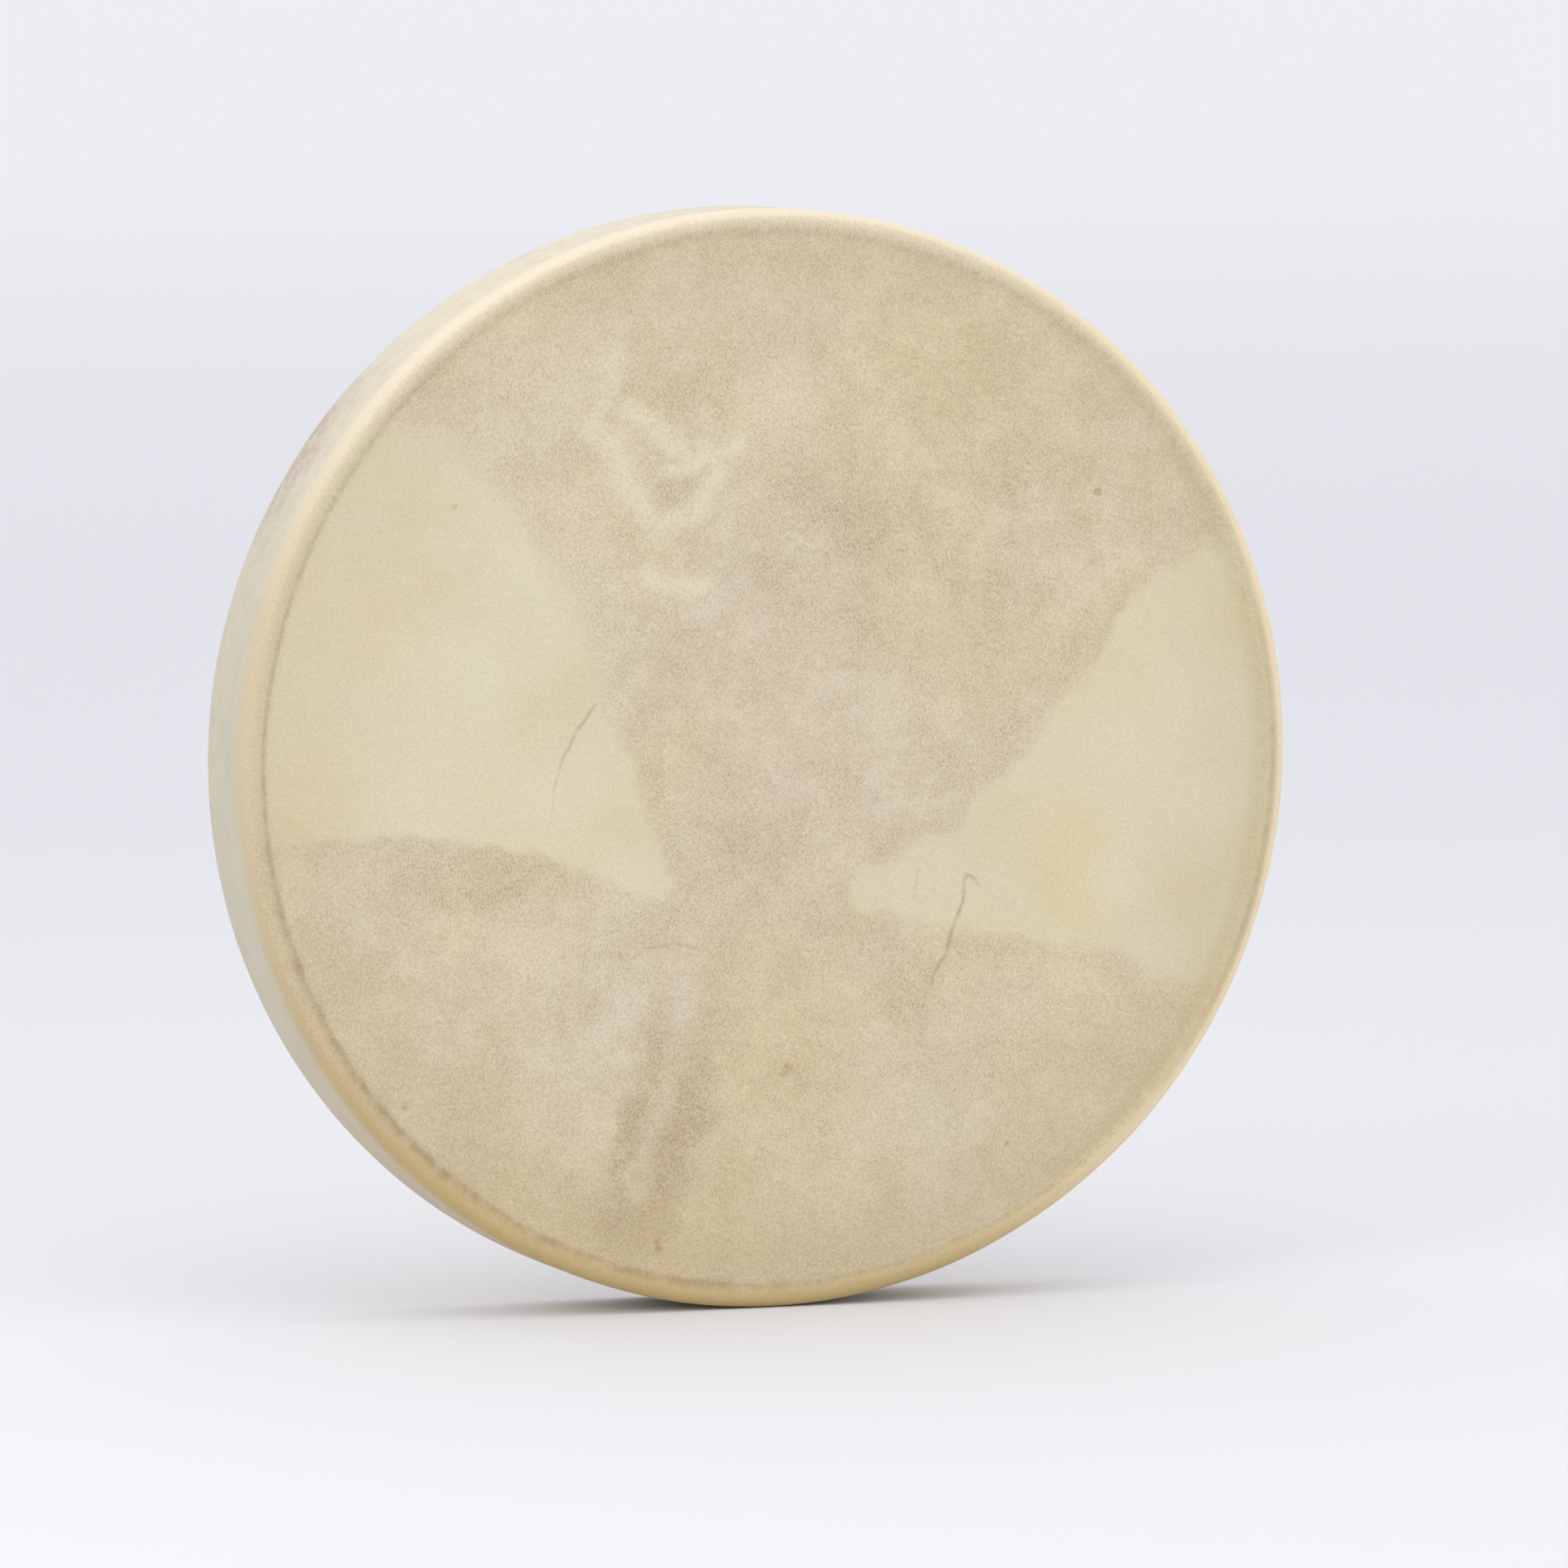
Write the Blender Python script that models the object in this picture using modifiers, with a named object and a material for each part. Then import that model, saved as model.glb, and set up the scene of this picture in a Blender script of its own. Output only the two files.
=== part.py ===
"""Frame drum: one rawhide head drawn over a two-ply bent wood hoop and laced across the back to a ring.

Run it with blender --background --python part.py, or from Blender's text editor. Units are metres, +Z is
up, and the drum stands on its rim on z = 0 with its playing face towards -Y. Turned pieces are modelled
about their own +Z, which is turned to point out of the playing face.
"""

import math

import bmesh
import bpy
from mathutils import Matrix, Vector

# Driving dimensions.
DRUM_RADIUS = 0.200
DRUM_DEPTH = 0.047
HIDE_THICKNESS = 0.0012
PLY_THICKNESS = 0.0031
GAP = 0.0003
LACE_RADIUS = 0.0015
QUARTERS = 4
HOLES_PER_QUARTER = 6

# Turned pieces have this many sides, with one side flat on the floor.
SIDES = 64
HALF_SIDE = math.pi / SIDES
CENTRE = Vector((0.0, 0.0, DRUM_RADIUS * math.cos(HALF_SIDE)))
FACING = Matrix.Rotation(math.radians(90.0), 4, "X")

# How finely the smaller round pieces are divided.
TACK_SIDES = 12
RING_SIDES = 28
RING_WIRE_SIDES = 8
HOLE_SIDES = 8
ROUND_STEPS = 3

# The head: a rounded rim, a playing skin set back behind it, and a lip turned in over the hoop's rear edge.
FRONT = DRUM_DEPTH / 2
REAR = -DRUM_DEPTH / 2
RIM_ROUND = 0.0044
RIM_CREST_RADIUS = DRUM_RADIUS - RIM_ROUND
SKIN_SETBACK = 0.0015
SKIN_RADIUS = 0.1885
REAR_ROUND = 0.0025
LIP_START_RADIUS = 0.1915
LIP_TIP_RADIUS = 0.1705
LIP_SLOPE = math.tan(math.radians(12.0))

# The hoop, measured inwards from the head's inner face.
PLY_OUTER_RADIUS = DRUM_RADIUS - HIDE_THICKNESS - GAP
HOOP_FRONT = FRONT - HIDE_THICKNESS - GAP
HOOP_REAR = -HOOP_FRONT
REAR_EDGE_BEVEL = 0.001
INNER_PLY_DROP = 0.0012
INNER_PLY_SHY = 0.0001
SEAM_WIDTH = 0.0004
SEAM_CUT_DEPTH = 0.012
SEAM_CUT_LENGTH = 0.09
SEAM_SLANT = math.radians(35.0)
OUTER_SEAM_ANGLE = math.radians(225.0)
INNER_SEAM_ANGLE = math.radians(45.0)
TACK_SHANK_RADIUS = 0.0009
TACK_HEAD_RADIUS = 0.0022
TACK_CLENCH_RADIUS = 0.0024
TACK_HEAD_SINK = 0.0002
TACK_HEAD_DEPTH = 0.0011
TACK_CLENCH_EDGE = 0.0007
TACK_CLENCH_CROWN = 0.0011
TACK_HOLE_OVERRUN = 0.004
TACK_HOLE_RIM = 0.0003
TACK_HOLE_TAPER = 0.0006
TACK_FROM_SEAM = 0.009
TACK_FROM_MIDDLE = 0.012

# The handle: a sleeved steel ring in the middle of the back, and four leather-bound bundles of lace.
RING_RADIUS = 0.024
RING_WIRE_RADIUS = 0.0025
SLEEVE_THICKNESS = 0.0011
SLEEVE_RADIUS = RING_WIRE_RADIUS + GAP + SLEEVE_THICKNESS
SLEEVE_SEAM_HALF_DEGREES = 9
SLEEVE_STEPS = 8
HANDLE_Y = 0.0122
LACE_PITCH = 0.0036
BINDING_START = 0.0365
BINDING_END = 0.078
BINDING_WALL = 0.0022
BINDING_OUTER_CORNER = 0.0042
BINDING_INNER_CORNER = 0.002
BINDING_CORNER_STEPS = 4
BINDING_EASE = 0.00005

# The lacing holes in the lip, the height of the lace on either side of them, and how it bends.
HOLE_RADIUS_OUT = 0.1775
HOLE_RADIUS = 0.0021
HOLE_CUT_DEPTH = 0.012
HOLE_CUT_MIDDLE = 0.004
HOLE_STEP = 2 * math.pi / (QUARTERS * HOLES_PER_QUARTER)
LACE_CLEARANCE = LACE_RADIUS + 0.00045
TAIL_LENGTH = 0.011
LACE_PAST_LIP = 0.001
LACE_BEFORE_BINDING = 0.0035
LACE_AFTER_BINDING = 0.0015
LACE_HOLE_BEND = 0.002
LACE_MOUTH_BEND = 0.004
LACE_RING_BEND = 0.006
LACE_RING_EASE = 0.0001
LACE_TURN_START_DEGREES = -70.0
LACE_TURN_DEGREES = 220.0
LACE_TURN_STEPS = 5
STRAIGHT_ENOUGH = math.radians(4.0)


def clear_scene():
    for obj in list(bpy.data.objects):
        bpy.data.objects.remove(obj)


def new_collection(name):
    collection = bpy.data.collections.new(name)
    bpy.context.scene.collection.children.link(collection)
    return collection


def new_material(name, colour, roughness, metallic=0.0):
    material = bpy.data.materials.new(name)
    material.use_nodes = True
    shader = material.node_tree.nodes["Principled BSDF"]
    shader.inputs["Base Color"].default_value = (*colour, 1.0)
    shader.inputs["Roughness"].default_value = roughness
    shader.inputs["Metallic"].default_value = metallic
    return material


def place(obj, collection, material=None, matrix=None):
    """Link an object to its collection, give it its material and set it in place."""
    collection.objects.link(obj)
    if material is not None:
        obj.data.materials.append(material)
    if matrix is not None:
        obj.matrix_world = matrix
    return obj


def as_cutter(obj):
    obj.hide_render = True
    obj.display_type = "WIRE"
    return obj


def cut(obj, cutter):
    modifier = obj.modifiers.new("cut_" + cutter.name, "BOOLEAN")
    modifier.operation = "DIFFERENCE"
    modifier.object = cutter


def drum_matrix():
    """From a turned piece's own axes to the standing drum."""
    return Matrix.Translation(CENTRE) @ FACING


def arc(radius_out, height, radius, start, end, steps):
    """Points along an arc of a turned profile, as (radius from the axis, height) pairs, angles in degrees."""
    points = []
    for i in range(steps + 1):
        angle = math.radians(start + (end - start) * i / steps)
        points.append((radius_out + radius * math.cos(angle), height + radius * math.sin(angle)))
    return points


def inset(path, distance):
    """A profile's path moved inwards, to the right of its direction of travel, with mitred corners."""
    moved = []
    for i, (radius, height) in enumerate(path):
        before = Vector(path[max(i - 1, 0)])
        here = Vector((radius, height))
        after = Vector(path[min(i + 1, len(path) - 1)])
        sides = [side.normalized() for side in (here - before, after - here) if side.length > 0]
        normals = [Vector((side.y, -side.x)) for side in sides]
        middle = (normals[0] + normals[-1]).normalized()
        point = here + middle * distance / middle.dot(normals[0])
        moved.append((radius if radius == 0 else point.x, point.y))
    return moved


def turned(name, profile, closed, steps=SIDES, turn=HALF_SIDE):
    """A turned mesh: a profile of (radius, height) pairs revolved about its own Z by a Screw modifier."""
    mesh = bpy.data.meshes.new(name)
    points = [(r * math.cos(turn), r * math.sin(turn), h) for r, h in profile]
    edges = [(i, i + 1) for i in range(len(points) - 1)]
    if closed:
        edges.append((len(points) - 1, 0))
    mesh.from_pydata(points, edges, [])
    obj = bpy.data.objects.new(name, mesh)
    screw = obj.modifiers.new("turn", "SCREW")
    screw.steps = steps
    screw.render_steps = steps
    screw.use_merge_vertices = True
    screw.merge_threshold = 0.00005
    screw.use_smooth_shade = False
    return obj


def cylinder_into(bm, radius, depth, matrix, segments):
    bmesh.ops.create_cone(
        bm, cap_ends=True, segments=segments, radius1=radius, radius2=radius, depth=depth, matrix=matrix
    )


def head_outer_path():
    """The head's outer face from the middle of the playing skin, over the rim, down the side, to the lip's tip."""
    skin_height = FRONT - SKIN_SETBACK
    path = [(0.0, skin_height)]
    swell_steps = 3
    for i in range(swell_steps):
        share = i / swell_steps
        rise = SKIN_SETBACK * (1 - math.cos(math.pi * share)) / 2
        path.append((SKIN_RADIUS + (RIM_CREST_RADIUS - SKIN_RADIUS) * share, skin_height + rise))
    path += arc(RIM_CREST_RADIUS, FRONT - RIM_ROUND, RIM_ROUND, 90, 0, ROUND_STEPS)
    path += arc(DRUM_RADIUS - REAR_ROUND, REAR + REAR_ROUND, REAR_ROUND, 0, -90, 2)
    path.append((LIP_START_RADIUS, REAR))
    path.append((LIP_TIP_RADIUS, REAR + (LIP_START_RADIUS - LIP_TIP_RADIUS) * LIP_SLOPE))
    return path


def make_head(parts, cutters, material):
    """The rawhide head, one skin: playing face, rim, side and the turned-in lip with its lacing holes."""
    outer = head_outer_path()
    inner = inset(outer, HIDE_THICKNESS)
    head = turned("rawhide_head", outer + inner[::-1], closed=False)
    place(head, parts, material, drum_matrix())

    bm = bmesh.new()
    for i in range(QUARTERS * HOLES_PER_QUARTER):
        angle = (i + 0.5) * HOLE_STEP
        out = Vector((math.cos(angle), math.sin(angle), 0.0))
        middle = out * HOLE_RADIUS_OUT + Vector((0.0, 0.0, REAR + HOLE_CUT_MIDDLE))
        cylinder_into(bm, HOLE_RADIUS, HOLE_CUT_DEPTH, Matrix.Translation(middle), HOLE_SIDES)
    mesh = bpy.data.meshes.new("lacing_holes")
    bm.to_mesh(mesh)
    bm.free()
    holes = place(bpy.data.objects.new("lacing_holes", mesh), cutters, None, drum_matrix())
    cut(head, as_cutter(holes))


def tack_places():
    """Each tack's angle round the hoop and height across it: four beside each ply's slanted seam."""
    places = []
    side_angle = TACK_FROM_SEAM / PLY_OUTER_RADIUS
    for seam in (INNER_SEAM_ANGLE, OUTER_SEAM_ANGLE):
        for height in (-TACK_FROM_MIDDLE, TACK_FROM_MIDDLE):
            lean = math.tan(SEAM_SLANT) * height / PLY_OUTER_RADIUS
            for side in (-1, 1):
                places.append((seam + lean + side * side_angle, height))
    return places


def radial_matrix(angle, height, radius):
    """Puts a piece's own +Z along the inward radius at that angle and height, with its origin at that radius."""
    out = Vector((math.cos(angle), math.sin(angle), 0.0))
    turn = (-out).to_track_quat("Z", "Y").to_matrix().to_4x4()
    return drum_matrix() @ Matrix.Translation(out * radius + Vector((0.0, 0.0, height))) @ turn


def tack_profile(grow):
    """A tack from its sunk head to its clenched end, as (radius, depth) pairs, grown by a clearance."""
    flat = math.cos(HALF_SIDE)
    inner_face = 2 * PLY_THICKNESS + GAP - GAP * (1 - flat)
    if grow:
        return [
            (0.0, -TACK_HOLE_OVERRUN),
            (TACK_HEAD_RADIUS + grow, -TACK_HOLE_OVERRUN),
            (TACK_HEAD_RADIUS + grow, TACK_HOLE_RIM),
            (TACK_SHANK_RADIUS + grow, TACK_HEAD_DEPTH + TACK_HOLE_TAPER),
            (TACK_SHANK_RADIUS + grow, inner_face + TACK_HOLE_OVERRUN),
            (0.0, inner_face + TACK_HOLE_OVERRUN),
        ]
    clench = inner_face + GAP
    return [
        (0.0, TACK_HEAD_SINK),
        (TACK_HEAD_RADIUS, TACK_HEAD_SINK),
        (TACK_SHANK_RADIUS, TACK_HEAD_DEPTH),
        (TACK_SHANK_RADIUS, clench),
        (TACK_CLENCH_RADIUS, clench),
        (TACK_CLENCH_RADIUS * 0.75, clench + TACK_CLENCH_EDGE),
        (0.0, clench + TACK_CLENCH_CROWN),
    ]


def make_tacks(parts, cutters, material):
    """Eight copper tacks, clenched inside, and the clearance holes that they need through the plies."""
    surface = PLY_OUTER_RADIUS * math.cos(HALF_SIDE)
    holes = []
    for i, (angle, height) in enumerate(tack_places(), start=1):
        matrix = radial_matrix(angle, height, surface)
        tack = turned(f"hoop_tack_{i}", tack_profile(0)[::-1], closed=False, steps=TACK_SIDES, turn=0.0)
        place(tack, parts, material, matrix)
        hole = turned(f"tack_hole_{i}", tack_profile(GAP)[::-1], closed=False, steps=TACK_SIDES, turn=0.0)
        place(as_cutter(hole), cutters, None, matrix)
        holes.append(hole)
    return holes


def make_ply(name, profile, seam_angle, parts, cutters, material, tack_holes):
    """One bent strip of the hoop, its ends butted on a slant with a glue line between them."""
    ply = turned(name, profile, closed=True)
    place(ply, parts, material, drum_matrix())

    bm = bmesh.new()
    bmesh.ops.create_cube(bm, size=1.0)
    bmesh.ops.scale(bm, vec=(SEAM_CUT_DEPTH, SEAM_WIDTH, SEAM_CUT_LENGTH), verts=bm.verts)
    slant = Matrix.Rotation(-SEAM_SLANT, 4, "X")
    out = Matrix.Translation((PLY_OUTER_RADIUS - PLY_THICKNESS, 0.0, 0.0))
    bm.transform(Matrix.Rotation(seam_angle, 4, "Z") @ out @ slant)
    mesh = bpy.data.meshes.new(name + "_seam")
    bm.to_mesh(mesh)
    bm.free()
    seam = place(bpy.data.objects.new(name + "_seam", mesh), cutters, None, drum_matrix())
    cut(ply, as_cutter(seam))
    for hole in tack_holes:
        cut(ply, hole)


def make_hoop(parts, cutters, wood, copper):
    """The two plies: the outer one rounded to carry the rim, the inner one bevelled away from the skin."""
    holes = make_tacks(parts, cutters, copper)
    outer_in = PLY_OUTER_RADIUS - PLY_THICKNESS
    inner_out = outer_in - GAP
    inner_in = inner_out - PLY_THICKNESS
    wood_round = RIM_ROUND - HIDE_THICKNESS - GAP

    outer_profile = arc(RIM_CREST_RADIUS, HOOP_FRONT - wood_round, wood_round, 90, 0, ROUND_STEPS)
    outer_profile += [
        (PLY_OUTER_RADIUS, HOOP_REAR + REAR_EDGE_BEVEL),
        (PLY_OUTER_RADIUS - REAR_EDGE_BEVEL, HOOP_REAR),
        (outer_in, HOOP_REAR),
        (outer_in, HOOP_FRONT),
    ]
    make_ply("hoop_outer_ply", outer_profile, OUTER_SEAM_ANGLE, parts, cutters, wood, holes)

    inner_profile = [
        (inner_in, HOOP_FRONT - INNER_PLY_DROP),
        (inner_out, HOOP_FRONT - INNER_PLY_SHY),
        (inner_out, HOOP_REAR),
        (inner_in, HOOP_REAR),
    ]
    make_ply("hoop_inner_ply", inner_profile, INNER_SEAM_ANGLE, parts, cutters, wood, holes)


def make_ring(parts, material):
    """The welded steel ring that the four laces haul on."""
    bpy.ops.mesh.primitive_torus_add(
        major_radius=RING_RADIUS,
        minor_radius=RING_WIRE_RADIUS,
        major_segments=RING_SIDES,
        minor_segments=RING_WIRE_SIDES,
    )
    ring = bpy.context.active_object
    ring.name = "handle_ring"
    for linked in ring.users_collection:
        linked.objects.unlink(ring)
    place(ring, parts, material, Matrix.Translation((0.0, HANDLE_Y, CENTRE.z)) @ FACING)


def make_ring_sleeve(parts, material):
    """The leather folded round the ring, with its sewn seam left open a little on the inner side."""
    edge = 180 - SLEEVE_SEAM_HALF_DEGREES
    outer = arc(RING_RADIUS, 0.0, SLEEVE_RADIUS, edge, -edge, SLEEVE_STEPS)
    inner = arc(RING_RADIUS, 0.0, RING_WIRE_RADIUS + GAP, -edge, edge, SLEEVE_STEPS)
    sleeve = turned("ring_sleeve", outer + inner, closed=True, steps=RING_SIDES, turn=0.0)
    place(sleeve, parts, material, Matrix.Translation((0.0, HANDLE_Y, CENTRE.z)) @ FACING)


def quarter_axes(quarter):
    """A quarter's direction out from the middle, and the direction across it."""
    angle = quarter * 2 * math.pi / QUARTERS
    return (
        Vector((math.cos(angle), 0.0, math.sin(angle))),
        Vector((-math.sin(angle), 0.0, math.cos(angle))),
    )


def rounded_outline(half_width, half_height, radius, steps):
    """A rectangle with round corners, as points on a plane."""
    points = []
    for i, (sx, sy) in enumerate(((1, 1), (-1, 1), (-1, -1), (1, -1))):
        for step in range(steps + 1):
            angle = (i + step / steps) * math.pi / 2
            x = sx * (half_width - radius) + radius * math.cos(angle)
            y = sy * (half_height - radius) + radius * math.sin(angle)
            points.append((x, y))
    return points


def make_bindings(parts, material):
    """Four leather bindings, each a sleeve round one quarter's six runs of lace."""
    room = LACE_RADIUS + GAP + BINDING_EASE
    half_width = LACE_PITCH + room
    half_height = LACE_PITCH / 2 + room
    length = BINDING_END - BINDING_START
    for quarter in range(QUARTERS):
        out, across = quarter_axes(quarter)
        curve = bpy.data.curves.new(f"grip_binding_{quarter + 1}", "CURVE")
        curve.dimensions = "2D"
        curve.fill_mode = "BOTH"
        curve.extrude = length / 2
        for grow, corner in ((BINDING_WALL, BINDING_OUTER_CORNER), (0.0, BINDING_INNER_CORNER)):
            outline = rounded_outline(half_width + grow, half_height + grow, corner, BINDING_CORNER_STEPS)
            spline = curve.splines.new("POLY")
            spline.points.add(len(outline) - 1)
            for point, (x, y) in zip(spline.points, outline):
                point.co = (x, y, 0.0, 1.0)
            spline.use_cyclic_u = True
        middle = CENTRE + Vector((0.0, HANDLE_Y, 0.0)) + out * (BINDING_START + length / 2)
        # The outline's X runs across the quarter, its Y along the drum's axis, and its extrusion outwards.
        axes = Matrix((across, Vector((0.0, 1.0, 0.0)), across.cross(Vector((0.0, 1.0, 0.0))))).transposed()
        binding = bpy.data.objects.new(curve.name, curve)
        place(binding, parts, material, Matrix.Translation(middle) @ axes.to_4x4())


def filleted(corners, radii, steps):
    """A line through the corners with each inner corner rounded by an arc of its own radius."""
    points = [corners[0]]
    for i in range(1, len(corners) - 1):
        here = corners[i]
        back = (corners[i - 1] - here).normalized()
        ahead = (corners[i + 1] - here).normalized()
        turn = math.pi - back.angle(ahead)
        radius = radii[i]
        if turn < STRAIGHT_ENOUGH or radius == 0:
            points.append(here)
            continue
        reach = radius * math.tan(turn / 2)
        inward = (back + ahead).normalized()
        middle = here + inward * radius / math.cos(turn / 2)
        start = here + back * reach - middle
        end = here + ahead * reach - middle
        for step in range(steps + 1):
            points.append(middle + start.slerp(end, step / steps).normalized() * radius)
    points.append(corners[-1])
    return points


def lip_height(radius):
    """The y of the lip's outer face at a distance from the drum's axis."""
    return -REAR - (LIP_START_RADIUS - radius) * LIP_SLOPE


def hole_corners(angle):
    """A lace's three corners at a lacing hole, from outside the lip, through it, to under the lip's tip."""
    out = Vector((math.cos(angle), 0.0, math.sin(angle)))
    upright = math.hypot(1.0, LIP_SLOPE)
    over = lip_height(HOLE_RADIUS_OUT) + LACE_CLEARANCE * upright
    under = lip_height(HOLE_RADIUS_OUT) - (HIDE_THICKNESS + LACE_CLEARANCE) * upright
    past_radius = LIP_TIP_RADIUS - LACE_PAST_LIP
    past = lip_height(past_radius) - (HIDE_THICKNESS + LACE_CLEARANCE) * upright
    return [
        CENTRE + out * HOLE_RADIUS_OUT + Vector((0.0, over, 0.0)),
        CENTRE + out * HOLE_RADIUS_OUT + Vector((0.0, under, 0.0)),
        CENTRE + out * past_radius + Vector((0.0, past, 0.0)),
    ]


def ring_turn(out, across, offset):
    """A lace's half turn round the sleeved ring, from the head's side to the back, at an offset across."""
    reach = math.sqrt(RING_RADIUS**2 - offset**2)
    radius = SLEEVE_RADIUS + GAP + LACE_RADIUS + LACE_RING_EASE
    points = []
    for i in range(LACE_TURN_STEPS + 1):
        angle = math.radians(LACE_TURN_START_DEGREES - LACE_TURN_DEGREES * i / LACE_TURN_STEPS)
        along = reach + radius * math.cos(angle)
        depth = HANDLE_Y + radius * math.sin(angle)
        points.append(CENTRE + out * along + across * offset + Vector((0.0, depth, 0.0)))
    return points


def lace_route(quarter):
    """The corners of one quarter's lace and the radius of each: three trips to the ring, between six holes."""
    out, across = quarter_axes(quarter)
    first = quarter * 2 * math.pi / QUARTERS - (HOLES_PER_QUARTER - 1) / 2 * HOLE_STEP
    trips = HOLES_PER_QUARTER // 2
    corners = []
    radii = []
    for trip in range(trips):
        offset = (trip - (trips - 1) / 2) * LACE_PITCH
        going = hole_corners(first + 2 * trip * HOLE_STEP)
        coming = hole_corners(first + (2 * trip + 1) * HOLE_STEP)
        lines = []
        for side in (-1, 1):
            depth = Vector((0.0, HANDLE_Y + side * LACE_PITCH / 2, 0.0))
            mouth = CENTRE + out * (BINDING_END + LACE_BEFORE_BINDING) + across * offset + depth
            inner = CENTRE + out * (BINDING_START - LACE_AFTER_BINDING) + across * offset + depth
            lines.append((mouth, inner))
        round_ring = ring_turn(out, across, offset)
        corners += going + list(lines[0]) + round_ring + list(lines[1])[::-1] + coming[::-1]
        radii += [LACE_HOLE_BEND, LACE_HOLE_BEND, 0, LACE_MOUTH_BEND, LACE_RING_BEND]
        radii += [0] * len(round_ring)
        radii += [LACE_RING_BEND, LACE_MOUTH_BEND, 0, LACE_HOLE_BEND, LACE_HOLE_BEND]
    before = first - TAIL_LENGTH / HOLE_RADIUS_OUT
    after = first + (HOLES_PER_QUARTER - 1) * HOLE_STEP + TAIL_LENGTH / HOLE_RADIUS_OUT
    corners = [hole_corners(before)[0]] + corners + [hole_corners(after)[0]]
    return corners, [0] + radii + [0]


def make_laces(parts, material):
    """Four rawhide laces, each threaded through its quarter's six holes and three times round the ring."""
    for quarter in range(QUARTERS):
        corners, radii = lace_route(quarter)
        points = filleted(corners, radii, steps=1)
        curve = bpy.data.curves.new(f"lace_{quarter + 1}", "CURVE")
        curve.dimensions = "3D"
        curve.bevel_depth = LACE_RADIUS
        curve.bevel_resolution = 2
        curve.use_fill_caps = True
        spline = curve.splines.new("POLY")
        spline.points.add(len(points) - 1)
        for point, place_at in zip(spline.points, points):
            point.co = (*place_at, 1.0)
        place(bpy.data.objects.new(curve.name, curve), parts, material)


def build():
    clear_scene()
    parts = new_collection("frame_drum")
    cutters = new_collection("cutters")
    rawhide = new_material("rawhide", (0.66, 0.58, 0.42), 0.55)
    lace_hide = new_material("lace_rawhide", (0.62, 0.50, 0.33), 0.5)
    wood = new_material("bent_ash", (0.60, 0.44, 0.27), 0.6)
    copper = new_material("copper", (0.72, 0.35, 0.22), 0.35, 1.0)
    steel = new_material("steel", (0.45, 0.45, 0.46), 0.35, 1.0)
    leather = new_material("brown_leather", (0.16, 0.08, 0.045), 0.65)

    make_head(parts, cutters, rawhide)
    make_hoop(parts, cutters, wood, copper)
    make_ring(parts, steel)
    make_ring_sleeve(parts, leather)
    make_bindings(parts, leather)
    make_laces(parts, lace_hide)


build()
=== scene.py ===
"""The looks of the frame drum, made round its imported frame.

It runs from top to bottom in the order that the drum is put together. Units are metres, +Z is up, the playing
face looks towards -Y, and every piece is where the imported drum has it. Only the skin is set 0.3 mm less deep,
and the laces' knots and the sleeve's thread are added.
"""

import math

import bmesh
import bpy
import numpy as np
from mathutils import Matrix, Vector, noise


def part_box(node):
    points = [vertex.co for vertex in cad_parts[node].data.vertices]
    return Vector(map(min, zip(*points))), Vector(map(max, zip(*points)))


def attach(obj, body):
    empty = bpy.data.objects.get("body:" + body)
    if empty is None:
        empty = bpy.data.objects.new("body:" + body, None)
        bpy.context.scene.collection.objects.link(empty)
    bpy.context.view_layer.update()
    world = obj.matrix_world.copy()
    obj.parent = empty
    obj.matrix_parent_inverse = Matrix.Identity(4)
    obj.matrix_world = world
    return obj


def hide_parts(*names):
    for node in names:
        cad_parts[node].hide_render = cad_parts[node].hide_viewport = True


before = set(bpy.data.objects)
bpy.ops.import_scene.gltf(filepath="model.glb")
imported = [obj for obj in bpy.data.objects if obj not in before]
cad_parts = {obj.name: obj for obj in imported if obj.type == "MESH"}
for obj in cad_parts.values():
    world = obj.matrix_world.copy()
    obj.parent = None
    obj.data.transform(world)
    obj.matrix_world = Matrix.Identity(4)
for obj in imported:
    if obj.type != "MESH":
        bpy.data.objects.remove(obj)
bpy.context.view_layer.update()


# ---- Where the drum stands, and the camera that looks at it
# The head's box gives the drum's middle, its radius and the heights of its front and its back. The camera is
# far off with a long lens, a little to the left of the drum's axis and a little above it.

head_low, head_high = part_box("rawhide_head")
drum_radius = (head_high.x - head_low.x) / 2
middle = (head_low + head_high) / 2
front_y, rear_y = head_low.y, head_high.y

view_azimuth, view_elevation = math.radians(-18.8), math.radians(4.9)
view_distance = 4.0
view_aside, view_above = 0.0041, -0.0084
towards_camera = Vector(
    (
        math.sin(view_azimuth) * math.cos(view_elevation),
        -math.cos(view_azimuth) * math.cos(view_elevation),
        math.sin(view_elevation),
    )
)
view_right = Vector((math.cos(view_azimuth), math.sin(view_azimuth), 0.0))
view_up = towards_camera.cross(view_right)

camera = bpy.data.objects.new("camera", bpy.data.cameras.new("camera"))
bpy.context.scene.collection.objects.link(camera)
bpy.context.scene.camera = camera
camera.data.sensor_width = 36.0
camera.data.lens = 253.6
camera.data.clip_end = 140.0
camera.location = (
    Vector((middle.x, front_y, middle.z))
    + towards_camera * view_distance
    + view_right * view_aside
    + view_up * view_above
)
camera.rotation_mode = "QUATERNION"
camera.rotation_quaternion = towards_camera.to_track_quat("Z", "Y")


# ---- The studio: floor, light and sky
# A wide pale floor, one big soft lamp overhead that leans towards the playing face, a weaker one from the
# left, and a pale sky that fills the shadows and is as bright as the far floor where the two meet.


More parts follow.
